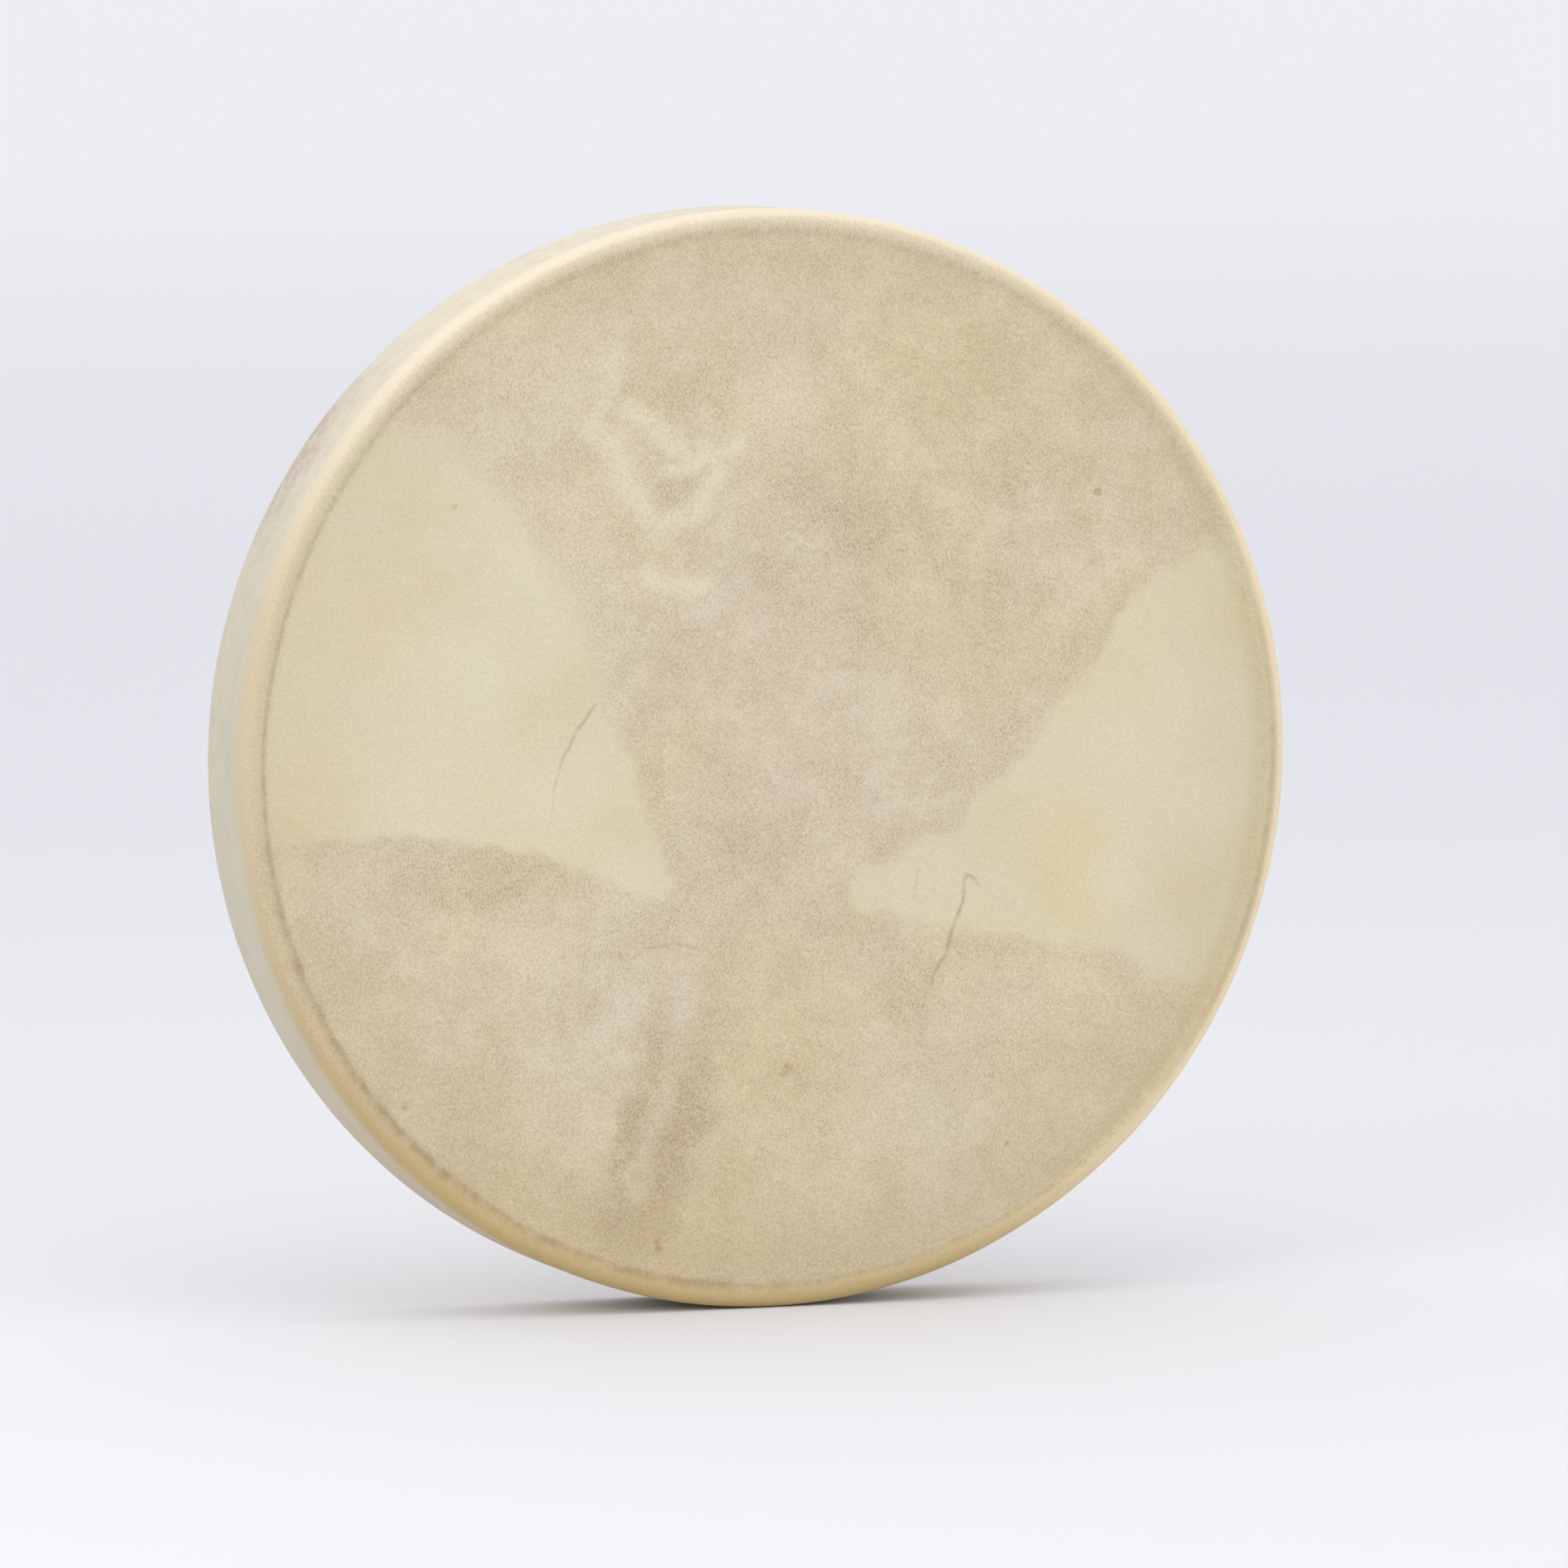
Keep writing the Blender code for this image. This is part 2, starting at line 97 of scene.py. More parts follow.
class Shade:
    """A shader socket that Python's operators work on. Each operation adds its Math node to the material."""

    def __init__(self, recipe, socket):
        self.recipe = recipe
        self.socket = socket

    def math(self, operation, *values):
        sockets = dict(enumerate(values))
        return self.recipe.node("ShaderNodeMath", {"operation": operation}, sockets)

    def __add__(self, other):
        return self.math("ADD", self, other)

    def __sub__(self, other):
        return self.math("SUBTRACT", self, other)

    def __rsub__(self, other):
        return self.math("SUBTRACT", other, self)

    def __mul__(self, other):
        return self.math("MULTIPLY", self, other)

    def __truediv__(self, other):
        return self.math("DIVIDE", self, other)

    __radd__ = __add__
    __rmul__ = __mul__

    def size(self):
        return self.math("ABSOLUTE", self)

    def root(self):
        return self.math("SQRT", self)

    def least(self, other):
        return self.math("MINIMUM", self, other)

    def most(self, other):
        return self.math("MAXIMUM", self, other)

    def rise(self, low, high):
        """0 below low and 1 above high, smooth between. Where high is below low, it falls instead."""
        settings = {"interpolation_type": "SMOOTHSTEP"}
        if low < high:
            ends = {"From Min": low, "From Max": high}
        else:
            ends = {"From Min": high, "From Max": low, "To Min": 1.0, "To Max": 0.0}
        return self.recipe.node("ShaderNodeMapRange", settings, {"Value": self, **ends})


class Recipe:
    """A material's node tree and its one shader, or those of the sky, where a world is given."""

    def __init__(self, name, world=None):
        self.material = world or bpy.data.materials.new(name)
        self.material.use_nodes = True
        self.tree = self.material.node_tree
        self.shader = self.tree.nodes["Background" if world else "Principled BSDF"]
        self.place = self.node("ShaderNodeTexCoord", output="Generated" if world else "Object")
        parts = self.node("ShaderNodeSeparateXYZ", sockets={0: self.place}).socket.node
        self.x, self.y, self.z = (Shade(self, socket) for socket in parts.outputs)

    def node(self, kind, settings=None, sockets=None, output=0):
        """Adds a node, sets what it is, feeds its sockets with values or Shades, and returns one output."""
        node = self.tree.nodes.new(kind)
        for name, value in (settings or {}).items():
            setattr(node, name, value)
        for name, value in (sockets or {}).items():
            self.feed(node.inputs[name], value)
        return Shade(self, node.outputs[output])

    def feed(self, socket, value):
        if isinstance(value, Shade):
            self.tree.links.new(value.socket, socket)
        else:
            socket.default_value = value

    def set(self, **values):
        """Feeds the shader's own sockets: base_color is Base Color, and so on."""
        for name, value in values.items():
            self.feed(self.shader.inputs[name.replace("_", " ").title()], value)

    def noise(self, scale, detail=2.0, roughness=0.5, place=None, stretch=None, distortion=0.0):
        """Noise from 0 to 1 with scale features to the metre, on a stretched copy of the place if asked."""
        place = place or self.place
        if stretch:
            place = self.node("ShaderNodeMapping", sockets={"Vector": place, "Scale": stretch})
        sockets = {"Vector": place, "Scale": scale, "Detail": detail, "Roughness": roughness}
        return self.node("ShaderNodeTexNoise", sockets={**sockets, "Distortion": distortion})

    def mix(self, share, colour_a, colour_b):
        """A colour between two colours, which may be Shades or (red, green, blue) in linear light."""
        sockets = {0: share}
        for index, colour in ((6, colour_a), (7, colour_b)):
            sockets[index] = colour if isinstance(colour, Shade) else (*colour, 1.0)
        return self.node("ShaderNodeMix", {"data_type": "RGBA"}, sockets, output=2)

    def bump(self, height, depth):
        """Gives the shader a Normal bumped by a height of 0 to 1 that stands for so many metres."""
        sockets = {"Strength": 1.0, "Distance": depth, "Height": height}
        self.set(normal=self.node("ShaderNodeBump", sockets=sockets))


def link(piece, *materials):
    """Puts a new piece in the scene with its materials."""
    bpy.context.scene.collection.objects.link(piece)
    for material in materials:
        piece.data.materials.append(material)
    return piece


floor_half = 65.0
floor_mesh = bmesh.new()
bmesh.ops.create_grid(floor_mesh, x_segments=1, y_segments=1, size=floor_half)
floor_data = bpy.data.meshes.new("floor")
floor_mesh.to_mesh(floor_data)
floor_mesh.free()
paper = Recipe("pale_paper")
tooth = paper.noise(900.0, 3.0)
# Painted light fall-off on the paper: lightest in front of the drum, darker behind it out to 2.2 m, and lighter
# again far off, where it meets the sky.
paper_tone_and_painted_falloff = paper.mix(paper.y.rise(-0.1, 0.35), (0.765, 0.765, 0.780), (0.742, 0.744, 0.760))
paper_tone_and_painted_falloff = paper.mix(paper.y.rise(0.6, 2.2), paper_tone_and_painted_falloff, (0.722, 0.725, 0.745))
paper_tone_and_painted_falloff = paper.mix(paper.y.rise(2.5, 14.0), paper_tone_and_painted_falloff, (0.812, 0.812, 0.828))
paper.set(base_color=paper_tone_and_painted_falloff, roughness=0.85)
paper.bump(tooth, 0.00002)
floor = link(bpy.data.objects.new("floor", floor_data), paper.material)

world = bpy.data.worlds.new("studio")
bpy.context.scene.world = world
sky = Recipe("studio", world)
sky_low, sky_high = 0.02, 0.16
sky_tone = sky.mix(sky.z.rise(sky_low, sky_high), (0.735, 0.750, 0.815), (1.03, 1.03, 1.08))
sky.set(color=sky_tone, strength=1.0)


def lamp(name, width, power, place):
    """A square soft lamp that looks at the drum's middle."""
    light = bpy.data.lights.new(name, "AREA")
    light.shape = "SQUARE"
    light.size = width
    light.energy = power
    lamp_object = bpy.data.objects.new(name, light)
    bpy.context.scene.collection.objects.link(lamp_object)
    lamp_object.location = middle + Vector(place)
    lamp_object.rotation_mode = "QUATERNION"
    lamp_object.rotation_quaternion = Vector(place).to_track_quat("Z", "Y")


lamp("overhead_softbox", 1.6, 6.0, (-0.3, -0.5, 1.9))
lamp("left_softbox", 0.9, 4.5, (-1.6, -1.2, 0.9))

bpy.context.scene.view_settings.view_transform = "Standard"


# ---- The rawhide head
# One wet hide, stretched over the hoop's rounded front edge, down its side and in over its rear edge, where
# 24 holes take the laces. It dries hard and thin, cream where the hair was white and tan where it was dark.

hide_thickness = 0.0012
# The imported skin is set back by 1.5 mm. This one's valley inside the rim is 0.3 mm shallower.
skin_setback = 0.0012
skin_y = front_y + skin_setback
edge_round = 0.0044
rear_round = 0.0025
groove_radius = drum_radius - 0.0105
crest_radius = drum_radius - edge_round
lip_start_radius = 0.1915
lip_tip_radius = 0.1711
lip_slope = math.tan(math.radians(12.0))
hole_count = 24
hole_ring_radius = 0.1775
hole_across, hole_along = 0.0021, 0.0027
lip_step = 0.0022
lip_depth = 0.0070
hole_cells = 2
pull_at_hole, pull_between, pull_wander = 0.0016, 0.0011, 0.0016
dip_between, dip_wander = 0.0009, 0.0004
side_unevenness, ridge_unevenness = 0.00018, 0.00022
columns_per_hole = 20
columns = hole_count * columns_per_hole
skin_steps, inside_steps, ring_spread = 44, 24, 0.8


def hide_profile():
    """The hide's section as (radius, y) pairs: from the skin's middle over the rim to the lip, and back."""
    outer = [(groove_radius * (i / skin_steps) ** ring_spread, skin_y) for i in range(skin_steps + 1)]
    rises = 9
    for i in range(1, rises):
        share = i / rises
        lift = (skin_y - front_y) * (1 - math.cos(math.pi * share)) / 2
        outer.append((groove_radius + (crest_radius - groove_radius) * share, skin_y - lift))
    for i in range(9):
        angle = math.pi / 2 * i / 8
        out, back = edge_round * math.sin(angle), edge_round * (1 - math.cos(angle))
        outer.append((crest_radius + out, front_y + back))
    side_start, side_end = front_y + edge_round, rear_y - rear_round
    outer += [(drum_radius, side_start + (side_end - side_start) * i / 18) for i in range(1, 18)]
    for i in range(6):
        angle = math.pi / 2 * i / 5
        out, back = rear_round * math.cos(angle), rear_round * math.sin(angle)
        outer.append((drum_radius - rear_round + out, side_end + back))
    outer += [(0.1950, rear_y), (0.1932, rear_y)]
    lip = [hole_ring_radius + n * lip_step for n in range(6, -3, -1)]
    outer += [(r, rear_y - max(0.0, lip_start_radius - r) * lip_slope) for r in lip]
    inner = [(r, y - hide_thickness) for r, y in outer[-len(lip):]][::-1]
    tip_radius = hide_thickness / 2
    tip_y = rear_y - (lip_start_radius - lip_tip_radius) * lip_slope - tip_radius
    tip = []
    for i in range(5):
        angle = math.pi * i / 4
        tip.append((lip_tip_radius - tip_radius * math.sin(angle), tip_y + tip_radius * math.cos(angle)))
    inner += [(0.1935, rear_y - hide_thickness), (0.1960, rear_y - hide_thickness - 0.0002)]
    wall = drum_radius - hide_thickness
    inner += [(wall - 0.0004, side_end - 0.0004)]
    inner += [(wall, side_end + (side_start - side_end) * i / 6) for i in range(7)]
    inner += [(crest_radius + 0.0023, front_y + 0.0021), (crest_radius, front_y + hide_thickness)]
    for i in range(inside_steps, -1, -1):
        inner.append((groove_radius * (i / inside_steps) ** ring_spread, skin_y + hide_thickness))
    return outer + tip + inner


def spun(profile, steps, angle=2 * math.pi, start=0.0, closed=False):
    """A bmesh turned from (radius, y) pairs about the drum's own axis."""
    bm = bmesh.new()
    points = []
    for radius, y in profile:
        across = Vector((math.cos(start), 0.0, math.sin(start))) * radius
        points.append(bm.verts.new(Vector((middle.x, y, middle.z)) + across))
    chain = points + points[:1] if closed else points
    edges = [bm.edges.new(pair) for pair in zip(chain, chain[1:])]
    whole = math.isclose(angle, 2 * math.pi)
    bmesh.ops.spin(
        bm,
        geom=points + edges,
        cent=(middle.x, 0.0, middle.z),
        axis=(0.0, -1.0, 0.0),
        dvec=(0.0, 0.0, 0.0),
        angle=angle,
        steps=steps,
        use_merge=whole,
        use_duplicate=False,
    )
    bmesh.ops.remove_doubles(bm, verts=bm.verts, dist=0.000005)
    return bm


def polar(point):
    """A point's angle round the drum's axis and its distance from it."""
    across, up = point.x - middle.x, point.z - middle.z
    return math.atan2(up, across), math.hypot(across, up)


def hole_offset(angle):
    """How far an angle is from the nearest lacing hole, in columns of the mesh."""
    turns = angle / (2 * math.pi) * hole_count - 0.5
    return (turns - round(turns)) * columns_per_hole


head_bm = spun(hide_profile(), columns)
lip_front = rear_y - lip_depth
hole_faces = []
for face in head_bm.faces:
    centre = face.calc_center_median()
    if centre.y < lip_front:
        continue
    angle, radius = polar(centre)
    if abs(hole_offset(angle)) < hole_cells and abs(radius - hole_ring_radius) < hole_cells * lip_step:
        hole_faces.append(face)
bmesh.ops.delete(head_bm, geom=hole_faces, context="FACES")

rims_by_hole = {}
for edge in head_bm.edges:
    if edge.is_boundary:
        centre = (edge.verts[0].co + edge.verts[1].co) / 2
        hole = int(polar(centre)[0] / (2 * math.pi) * hole_count + hole_count) % hole_count
        rims_by_hole.setdefault(hole, []).append(edge)
for hole, rim in rims_by_hole.items():
    hole_angle = (hole + 0.5) / hole_count * 2 * math.pi
    out = Vector((math.cos(hole_angle), 0.0, math.sin(hole_angle)))
    across = Vector((-math.sin(hole_angle), 0.0, math.cos(hole_angle)))
    hole_middle = middle + out * hole_ring_radius
    for vert in {vert for edge in rim for vert in edge.verts}:
        aside = (vert.co - hole_middle).dot(across)
        beyond = (vert.co - hole_middle).dot(out)
        bearing = math.atan2(beyond, aside)
        turned = out * (hole_along * math.sin(bearing)) + across * (hole_across * math.cos(bearing))
        vert.co = Vector((hole_middle.x + turned.x, vert.co.y, hole_middle.z + turned.z))
    bmesh.ops.bridge_loops(head_bm, edges=rim)


def lip_sway(angle, radius):
    """How far the drying lip is drawn inwards and towards the front, most at its tip and none at the hoop."""
    loose = max(0.0, min(1.0, (lip_start_radius - radius) / (lip_start_radius - lip_tip_radius)))
    at_hole = (1 + math.cos(2 * math.pi * hole_offset(angle) / columns_per_hole)) / 2
    wander = noise.noise(Vector((math.cos(angle), math.sin(angle), 0.4)) * 4.5)
    inwards = loose**2 * (pull_at_hole * at_hole - pull_between + pull_wander * wander)
    forwards = loose**1.5 * (dip_between * (1 - at_hole) + dip_wander * wander)
    return inwards, forwards


for vert in head_bm.verts:
    angle, radius = polar(vert.co)
    if vert.co.y > lip_front and radius < lip_start_radius + 0.0005:
        inwards, forwards = lip_sway(angle, radius)
        vert.co += Vector((math.cos(angle) * -inwards, -forwards, math.sin(angle) * -inwards))
    elif radius > crest_radius:
        # The side follows the hoop, and is drawn in a little where the hide is thin.
        swell = side_unevenness * noise.noise(vert.co * 38.0) - side_unevenness
        vert.co += Vector((math.cos(angle) * swell, 0.0, math.sin(angle) * swell))
    elif radius > 0.15:
        ridge = max(0.0, (radius - groove_radius) / (crest_radius - groove_radius))
        vert.co.y += min(1.0, ridge) * ridge_unevenness * noise.noise(vert.co * 45.0)
bmesh.ops.recalc_face_normals(head_bm, faces=head_bm.faces)
for face in head_bm.faces:
    face.smooth = True
head_data = bpy.data.meshes.new("drum_head")
head_bm.to_mesh(head_data)
head_bm.free()

# Two pale patches, where the coat was white: outlines as (right, up) of the skin's middle, in parts of the
# drum's radius. They run out past the rim. These and all later marks are in a frame of their own, moved and
# turned a little against the drum's, which corrects the way that their places were first worked out.
marks_aside, marks_turn = 0.0018, 0.0276
patch_left = [
    (-0.90, 0.61), (-0.74, 0.60), (-0.605, 0.58), (-0.48, 0.455), (-0.365, 0.30), (-0.32, 0.17),
    (-0.305, 0.095), (-0.26, 0.02), (-0.22, -0.10), (-0.18, -0.20), (-0.168, -0.24), (-0.20, -0.268),
    (-0.285, -0.236), (-0.41, -0.178), (-0.60, -0.148), (-0.815, -0.141), (-0.955, -0.151), (-1.25, -0.12),
    (-1.25, 0.75),
]
patch_right = [
    (1.25, 0.50), (0.87, 0.40), (0.71, 0.32), (0.665, 0.25), (0.635, 0.17), (0.57, 0.12), (0.51, 0.035),
    (0.40, -0.08), (0.353, -0.135), (0.268, -0.15), (0.248, -0.182), (0.173, -0.202), (0.159, -0.273),
    (0.235, -0.284), (0.40, -0.317), (0.54, -0.336), (0.695, -0.355), (0.75, -0.394), (0.84, -0.41),
    (1.25, -0.53),
]


def inside_by(points, outline):
    """How far each point lies inside an outline, in the outline's own units, and negative outside it."""
    nearest = np.full(len(points), np.inf)
    inside = np.zeros(len(points), dtype=bool)
    for start, end in zip(outline, outline[1:] + outline[:1]):
        start, run = np.array(start), np.array(end) - np.array(start)
        share = np.clip((points - start) @ run / (run @ run), 0.0, 1.0)
        gap = np.linalg.norm(points - start - share[:, None] * run, axis=1)
        nearest = np.minimum(nearest, gap)
        crosses = (points[:, 1] < start[1]) != (points[:, 1] < start[1] + run[1])
        if run[1]:
            at = start[0] + (points[:, 1] - start[1]) / run[1] * run[0]
            inside ^= crosses & (points[:, 0] < at)
    return np.where(inside, nearest, -nearest)


def write_attribute(data, name, values):
    layer = data.attributes.new(name, "FLOAT", "POINT")
    layer.data.foreach_set("value", np.asarray(values, dtype=np.float32))


places = np.empty(len(head_data.vertices) * 3, dtype=np.float32)
head_data.vertices.foreach_get("co", places)
places = places.reshape(-1, 3).astype(float) - np.array(middle)
marks_shift = np.column_stack([np.full(len(places), marks_aside), places[:, 0] * marks_turn])
mark_places = places[:, [0, 2]] + marks_shift
on_face = mark_places / drum_radius
in_patch = np.maximum(inside_by(on_face, patch_left), inside_by(on_face, patch_right))
write_attribute(head_data, "in_patch", in_patch * drum_radius)


def stained(stains):
    """A stain's strength at each point of the head, from clouds of (right, up, reach, strength) in metres."""
    total = np.zeros(len(places))
    for right, high, reach, strength in stains:
        gap = np.linalg.norm(mark_places - (right, high), axis=1) / reach
        total += strength * np.exp(-2.2 * gap**2)
    return np.clip(total, 0.0, 1.0)


# The hide's own colour drifts: pinkish over the animal's back, golden towards its belly, brown and grey where
# the follicles were dark, and pale where it was scraped thin.
write_attribute(head_data, "pinkish", stained([
    (-0.005, 0.035, 0.040, 0.9), (0.010, -0.010, 0.050, 0.6), (0.090, -0.090, 0.070, 0.5),
    (-0.100, 0.120, 0.030, 0.5), (-0.030, -0.085, 0.022, 0.7), (-0.095, -0.066, 0.030, 0.9),
]))
write_attribute(head_data, "golden", stained([
    (0.072, 0.044, 0.036, 0.9), (0.115, 0.030, 0.030, 0.6), (0.020, -0.115, 0.036, 0.7),
    (0.000, -0.180, 0.050, 0.9), (-0.110, -0.140, 0.050, 0.6), (0.115, -0.025, 0.026, 0.7),
    (0.128, -0.056, 0.020, 0.6), (0.060, 0.160, 0.050, 0.5), (-0.020, 0.165, 0.050, 0.5),
    (-0.0315, -0.1328, 0.012, 1.0), (-0.0105, -0.1242, 0.018, 0.6), (-0.0368, -0.1688, 0.018, 0.9),
    (0.1155, -0.0510, 0.014, 0.7), (0.1230, -0.0310, 0.016, 0.6), (-0.150, 0.040, 0.030, 0.35),
    (-0.165, -0.010, 0.030, 0.35),
]))
write_attribute(head_data, "dark_hair", stained([
    (0.025, 0.090, 0.040, 0.8), (-0.050, 0.005, 0.022, 0.7), (-0.014, -0.030, 0.036, 0.6),
    (0.085, 0.000, 0.030, 0.5), (-0.095, -0.046, 0.026, 0.7), (-0.125, -0.040, 0.024, 0.5),
    (0.120, 0.040, 0.022, 0.6), (-0.040, 0.105, 0.024, 0.8), (0.060, -0.070, 0.034, 0.4),
    (-0.040, -0.100, 0.016, 0.6), (-0.041, -0.132, 0.022, 0.6), (-0.056, -0.168, 0.020, 0.9),
    (0.100, 0.100, 0.040, 0.4), (0.018, 0.055, 0.026, 0.5), (-0.020, 0.150, 0.030, 0.3),
]))
write_attribute(head_data, "scraped", stained([
    (-0.090, 0.140, 0.040, 0.7), (-0.062, 0.095, 0.024, 0.5), (-0.094, -0.070, 0.018, 0.9),
    (-0.029, -0.092, 0.009, 0.7), (-0.075, -0.130, 0.030, 0.5), (0.030, -0.150, 0.040, 0.4),
    (0.006, 0.130, 0.030, 0.5), (0.052, 0.018, 0.024, 0.4), (0.004, 0.118, 0.024, 0.4),
    (-0.070, 0.062, 0.030, 0.6), (-0.055, -0.045, 0.026, 0.8), (-0.085, -0.010, 0.030, 0.6),
    (0.150, 0.010, 0.080, 0.4), (0.140, -0.075, 0.030, 0.4), (0.100, -0.100, 0.060, 0.3),
    (0.1740, -0.0180, 0.017, 0.8), (0.1560, -0.0700, 0.019, 0.8), (0.1350, -0.0440, 0.016, 0.6),
    (-0.110, 0.030, 0.030, 0.6), (-0.095, 0.075, 0.022, 0.6), (-0.130, -0.015, 0.026, 0.5),
]))
side_stain = np.linalg.norm(places - np.array((-0.165, rear_y - middle.y, 0.113)), axis=1) / 0.048
write_attribute(head_data, "side_stain", np.exp(-2.0 * side_stain**2))

hide = Recipe("rawhide")
across = hide.x - middle.x
up = hide.z - middle.z
radius = (across * across + up * up).root()
marks_across = across + marks_aside
marks_up = up + across * marks_turn


def attribute(name):
    return hide.node("ShaderNodeAttribute", {"attribute_name": name}, output="Fac")


drift_right = hide.noise(90.0, 2.0) - 0.5
drift_up = hide.noise(115.0, 2.0) - 0.5


def stroke(start, end, bow, width, wander):
    """A mark along a bowed, wandering line between two places: 1 on the line, and 0 outside its width."""
    start, run = Vector(start), Vector(end) - Vector(start)
    ahead = run.normalized()
    right = marks_across + drift_right * wander - start.x
    high = marks_up + drift_up * wander - start.y
    share = (right * ahead.x + high * ahead.y) / run.length
    aside = high * ahead.x - right * ahead.y - share * (1 - share) * (4 * bow)
    beyond = (((share - 0.5).size() - 0.5) * run.length).most(0.0)
    return (aside * aside + beyond * beyond).root().rise(width, 0.0)


def spot(right, high, reach):
    """A round mark on the skin: 1 at its middle, and 0 at its reach."""
    aside, above = marks_across - right, marks_up - high
    return (aside * aside + above * above).root().rise(reach, 0.0)


def rim_mark(at, half_width, wobble):
    """A mark round the rim: 1 at one radius, and 0 outside its half width."""
    return (radius + wobble - at).size().rise(half_width, half_width * 0.25)


blot = hide.noise(13.0, 3.0, 0.55)
cloud = hide.noise(40.0, 5.0, 0.56)
grain = hide.noise(135.0, 4.0, 0.62)
fine = hide.noise(780.0, 2.0, 0.6)
speck = hide.noise(1500.0, 1.0)
light_cloud = cloud.rise(0.66, 0.34)

# Cut hairs: short dark dashes that all lean the same way, thick in some places and hardly there in others.
hair_lean = math.radians(64.0)
hairs_along, hairs_across, hairs_deep = 820.0, 1750.0, 900.0
along_hair = across * math.cos(hair_lean) + up * math.sin(hair_lean)
across_hair = up * math.cos(hair_lean) - across * math.sin(hair_lean)
hair_sockets = {0: along_hair * hairs_along, 1: across_hair * hairs_across, 2: hide.y * hairs_deep}
hair_place = hide.node("ShaderNodeCombineXYZ", sockets=hair_sockets)
hair = hide.noise(1.0, 2.0, 0.5, place=hair_place).rise(0.50, 0.64)
dark_hair = attribute("dark_hair")
thickness = (1.0 - light_cloud * 0.5) * (grain.rise(0.34, 0.62) * 0.55 + 0.45) * (dark_hair * 0.45 + 0.55)

# The patches' edges are ragged by a few millimetres, and the left one fades out at its top and its right.
fading = spot(-0.105, 0.105, 0.050).most(spot(-0.082, 0.062, 0.046))
edge_width = fading * 0.0070 + (hide.noise(32.0, 2.0).rise(0.35, 0.68) * 0.0032 + 0.0016)
ragged = attribute("in_patch") + (hide.noise(62.0, 2.0) - 0.5) * 0.010
ragged = ragged + (grain - 0.5) * 0.010 + (hair - 0.5) * 0.0016
pale = (ragged / edge_width).rise(-1.0, 1.0)

tan_light = hide.mix(blot.rise(0.38, 0.62), (0.722, 0.612, 0.388), (0.712, 0.622, 0.456))
tan_dark = hide.mix(blot.rise(0.38, 0.62), (0.652, 0.528, 0.318), (0.642, 0.544, 0.378))
tan = hide.mix(light_cloud, tan_dark, tan_light)
tan = hide.mix(attribute("pinkish") * 0.6, tan, (0.675, 0.562, 0.420))
tan = hide.mix(attribute("golden") * 0.6, tan, (0.660, 0.540, 0.315))
tan = hide.mix(dark_hair * (1.0 - light_cloud * 0.4) * 0.55, tan, (0.560, 0.450, 0.290))
tan = hide.mix(grain.rise(0.40, 0.66) * 0.22, tan, (0.560, 0.450, 0.285))
tan = hide.mix(attribute("scraped") * (0.45 + grain * 0.5), tan, (0.740, 0.650, 0.462))
tan = hide.mix(hair * thickness * 0.80, tan, (0.310, 0.222, 0.130))

cream = hide.mix(blot.rise(0.36, 0.64), (0.708, 0.638, 0.405), (0.700, 0.636, 0.436))
cream = hide.mix(light_cloud * 0.35, cream, (0.730, 0.668, 0.470))
cream = hide.mix(hide.noise(24.0, 4.0).rise(0.46, 0.70) * 0.65, cream, (0.680, 0.582, 0.345))
cream = hide.mix(attribute("golden") * 0.9, cream, (0.735, 0.598, 0.345))
cream = hide.mix(attribute("scraped") * 0.6, cream, (0.768, 0.712, 0.530))
cream = hide.mix(hair * 0.10, cream, (0.420, 0.330, 0.180))

# Pale rub marks, high on the left.
rubbed_pale = stroke((-0.0564, 0.1460), (-0.0663, 0.1199), 0.0010, 0.0060, 0.006) * 0.7
for start, end, bow, width in (
    ((-0.0663, 0.1199), (-0.0538, 0.0988), 0.0030, 0.0085),
    ((-0.0538, 0.0988), (-0.0420, 0.0851), 0.0005, 0.0100),
    ((-0.0420, 0.0851), (-0.0236, 0.0950), -0.0020, 0.0090),
    ((-0.0236, 0.0950), (-0.0223, 0.1120), -0.0030, 0.0068),
    ((-0.0223, 0.1120), (-0.0380, 0.1037), 0.0010, 0.0056),
    ((-0.0525, 0.1261), (-0.0315, 0.1112), 0.0006, 0.0076),
    ((-0.0197, 0.1112), (-0.0095, 0.1150), -0.0012, 0.0036),
    ((-0.0459, 0.0664), (-0.0236, 0.0627), -0.0020, 0.0056),
):
    rubbed_pale = rubbed_pale.most(stroke(start, end, bow, width, 0.006))
tan = hide.mix(rubbed_pale * (grain.rise(0.66, 0.40) * 0.30 + 0.62), tan, (0.752, 0.680, 0.482))
face = hide.mix(pale, tan, cream)

# The spine's grey shadow, and a yellow darkening towards the rim, which grows towards the bottom as painted
# shade.
spine = stroke((-0.0400, -0.0880), (-0.0617, -0.1640), 0.0030, 0.0105, 0.016)
spine = spine.most(stroke((-0.0215, -0.0860), (-0.0485, -0.1740), 0.0030, 0.0155, 0.020))
spine = spine.most(spot(-0.0565, -0.1680, 0.0170) * 0.9)
spine = spine * (0.30 + grain.rise(0.38, 0.62) * 0.20 + hair * 0.50)
spine = spine * (0.40 + up.rise(-0.09, -0.14) * 0.60)
face = hide.mix(spine, face, (0.405, 0.303, 0.162))
spine_pale = stroke((-0.0302, -0.0819), (-0.0525, -0.1560), 0.0030, 0.0070, 0.010)
face = hide.mix(spine_pale * 0.26, face, (0.700, 0.630, 0.500))
# Painted shade towards the bottom: the darkening towards the rim is more than twice as strong there as at the
# top.
face = hide.mix(radius.rise(0.135, 0.197) * (up.rise(0.08, -0.17) * 0.30 + 0.22), face, (0.540, 0.435, 0.245))
speckled = 1.0 - pale * 0.72
face = hide.mix(speck.rise(0.50, 0.72) * speckled * 0.27, face, (0.410, 0.315, 0.180))
face = hide.mix(speck.rise(0.50, 0.30) * speckled * 0.22, face, (0.860, 0.790, 0.600))

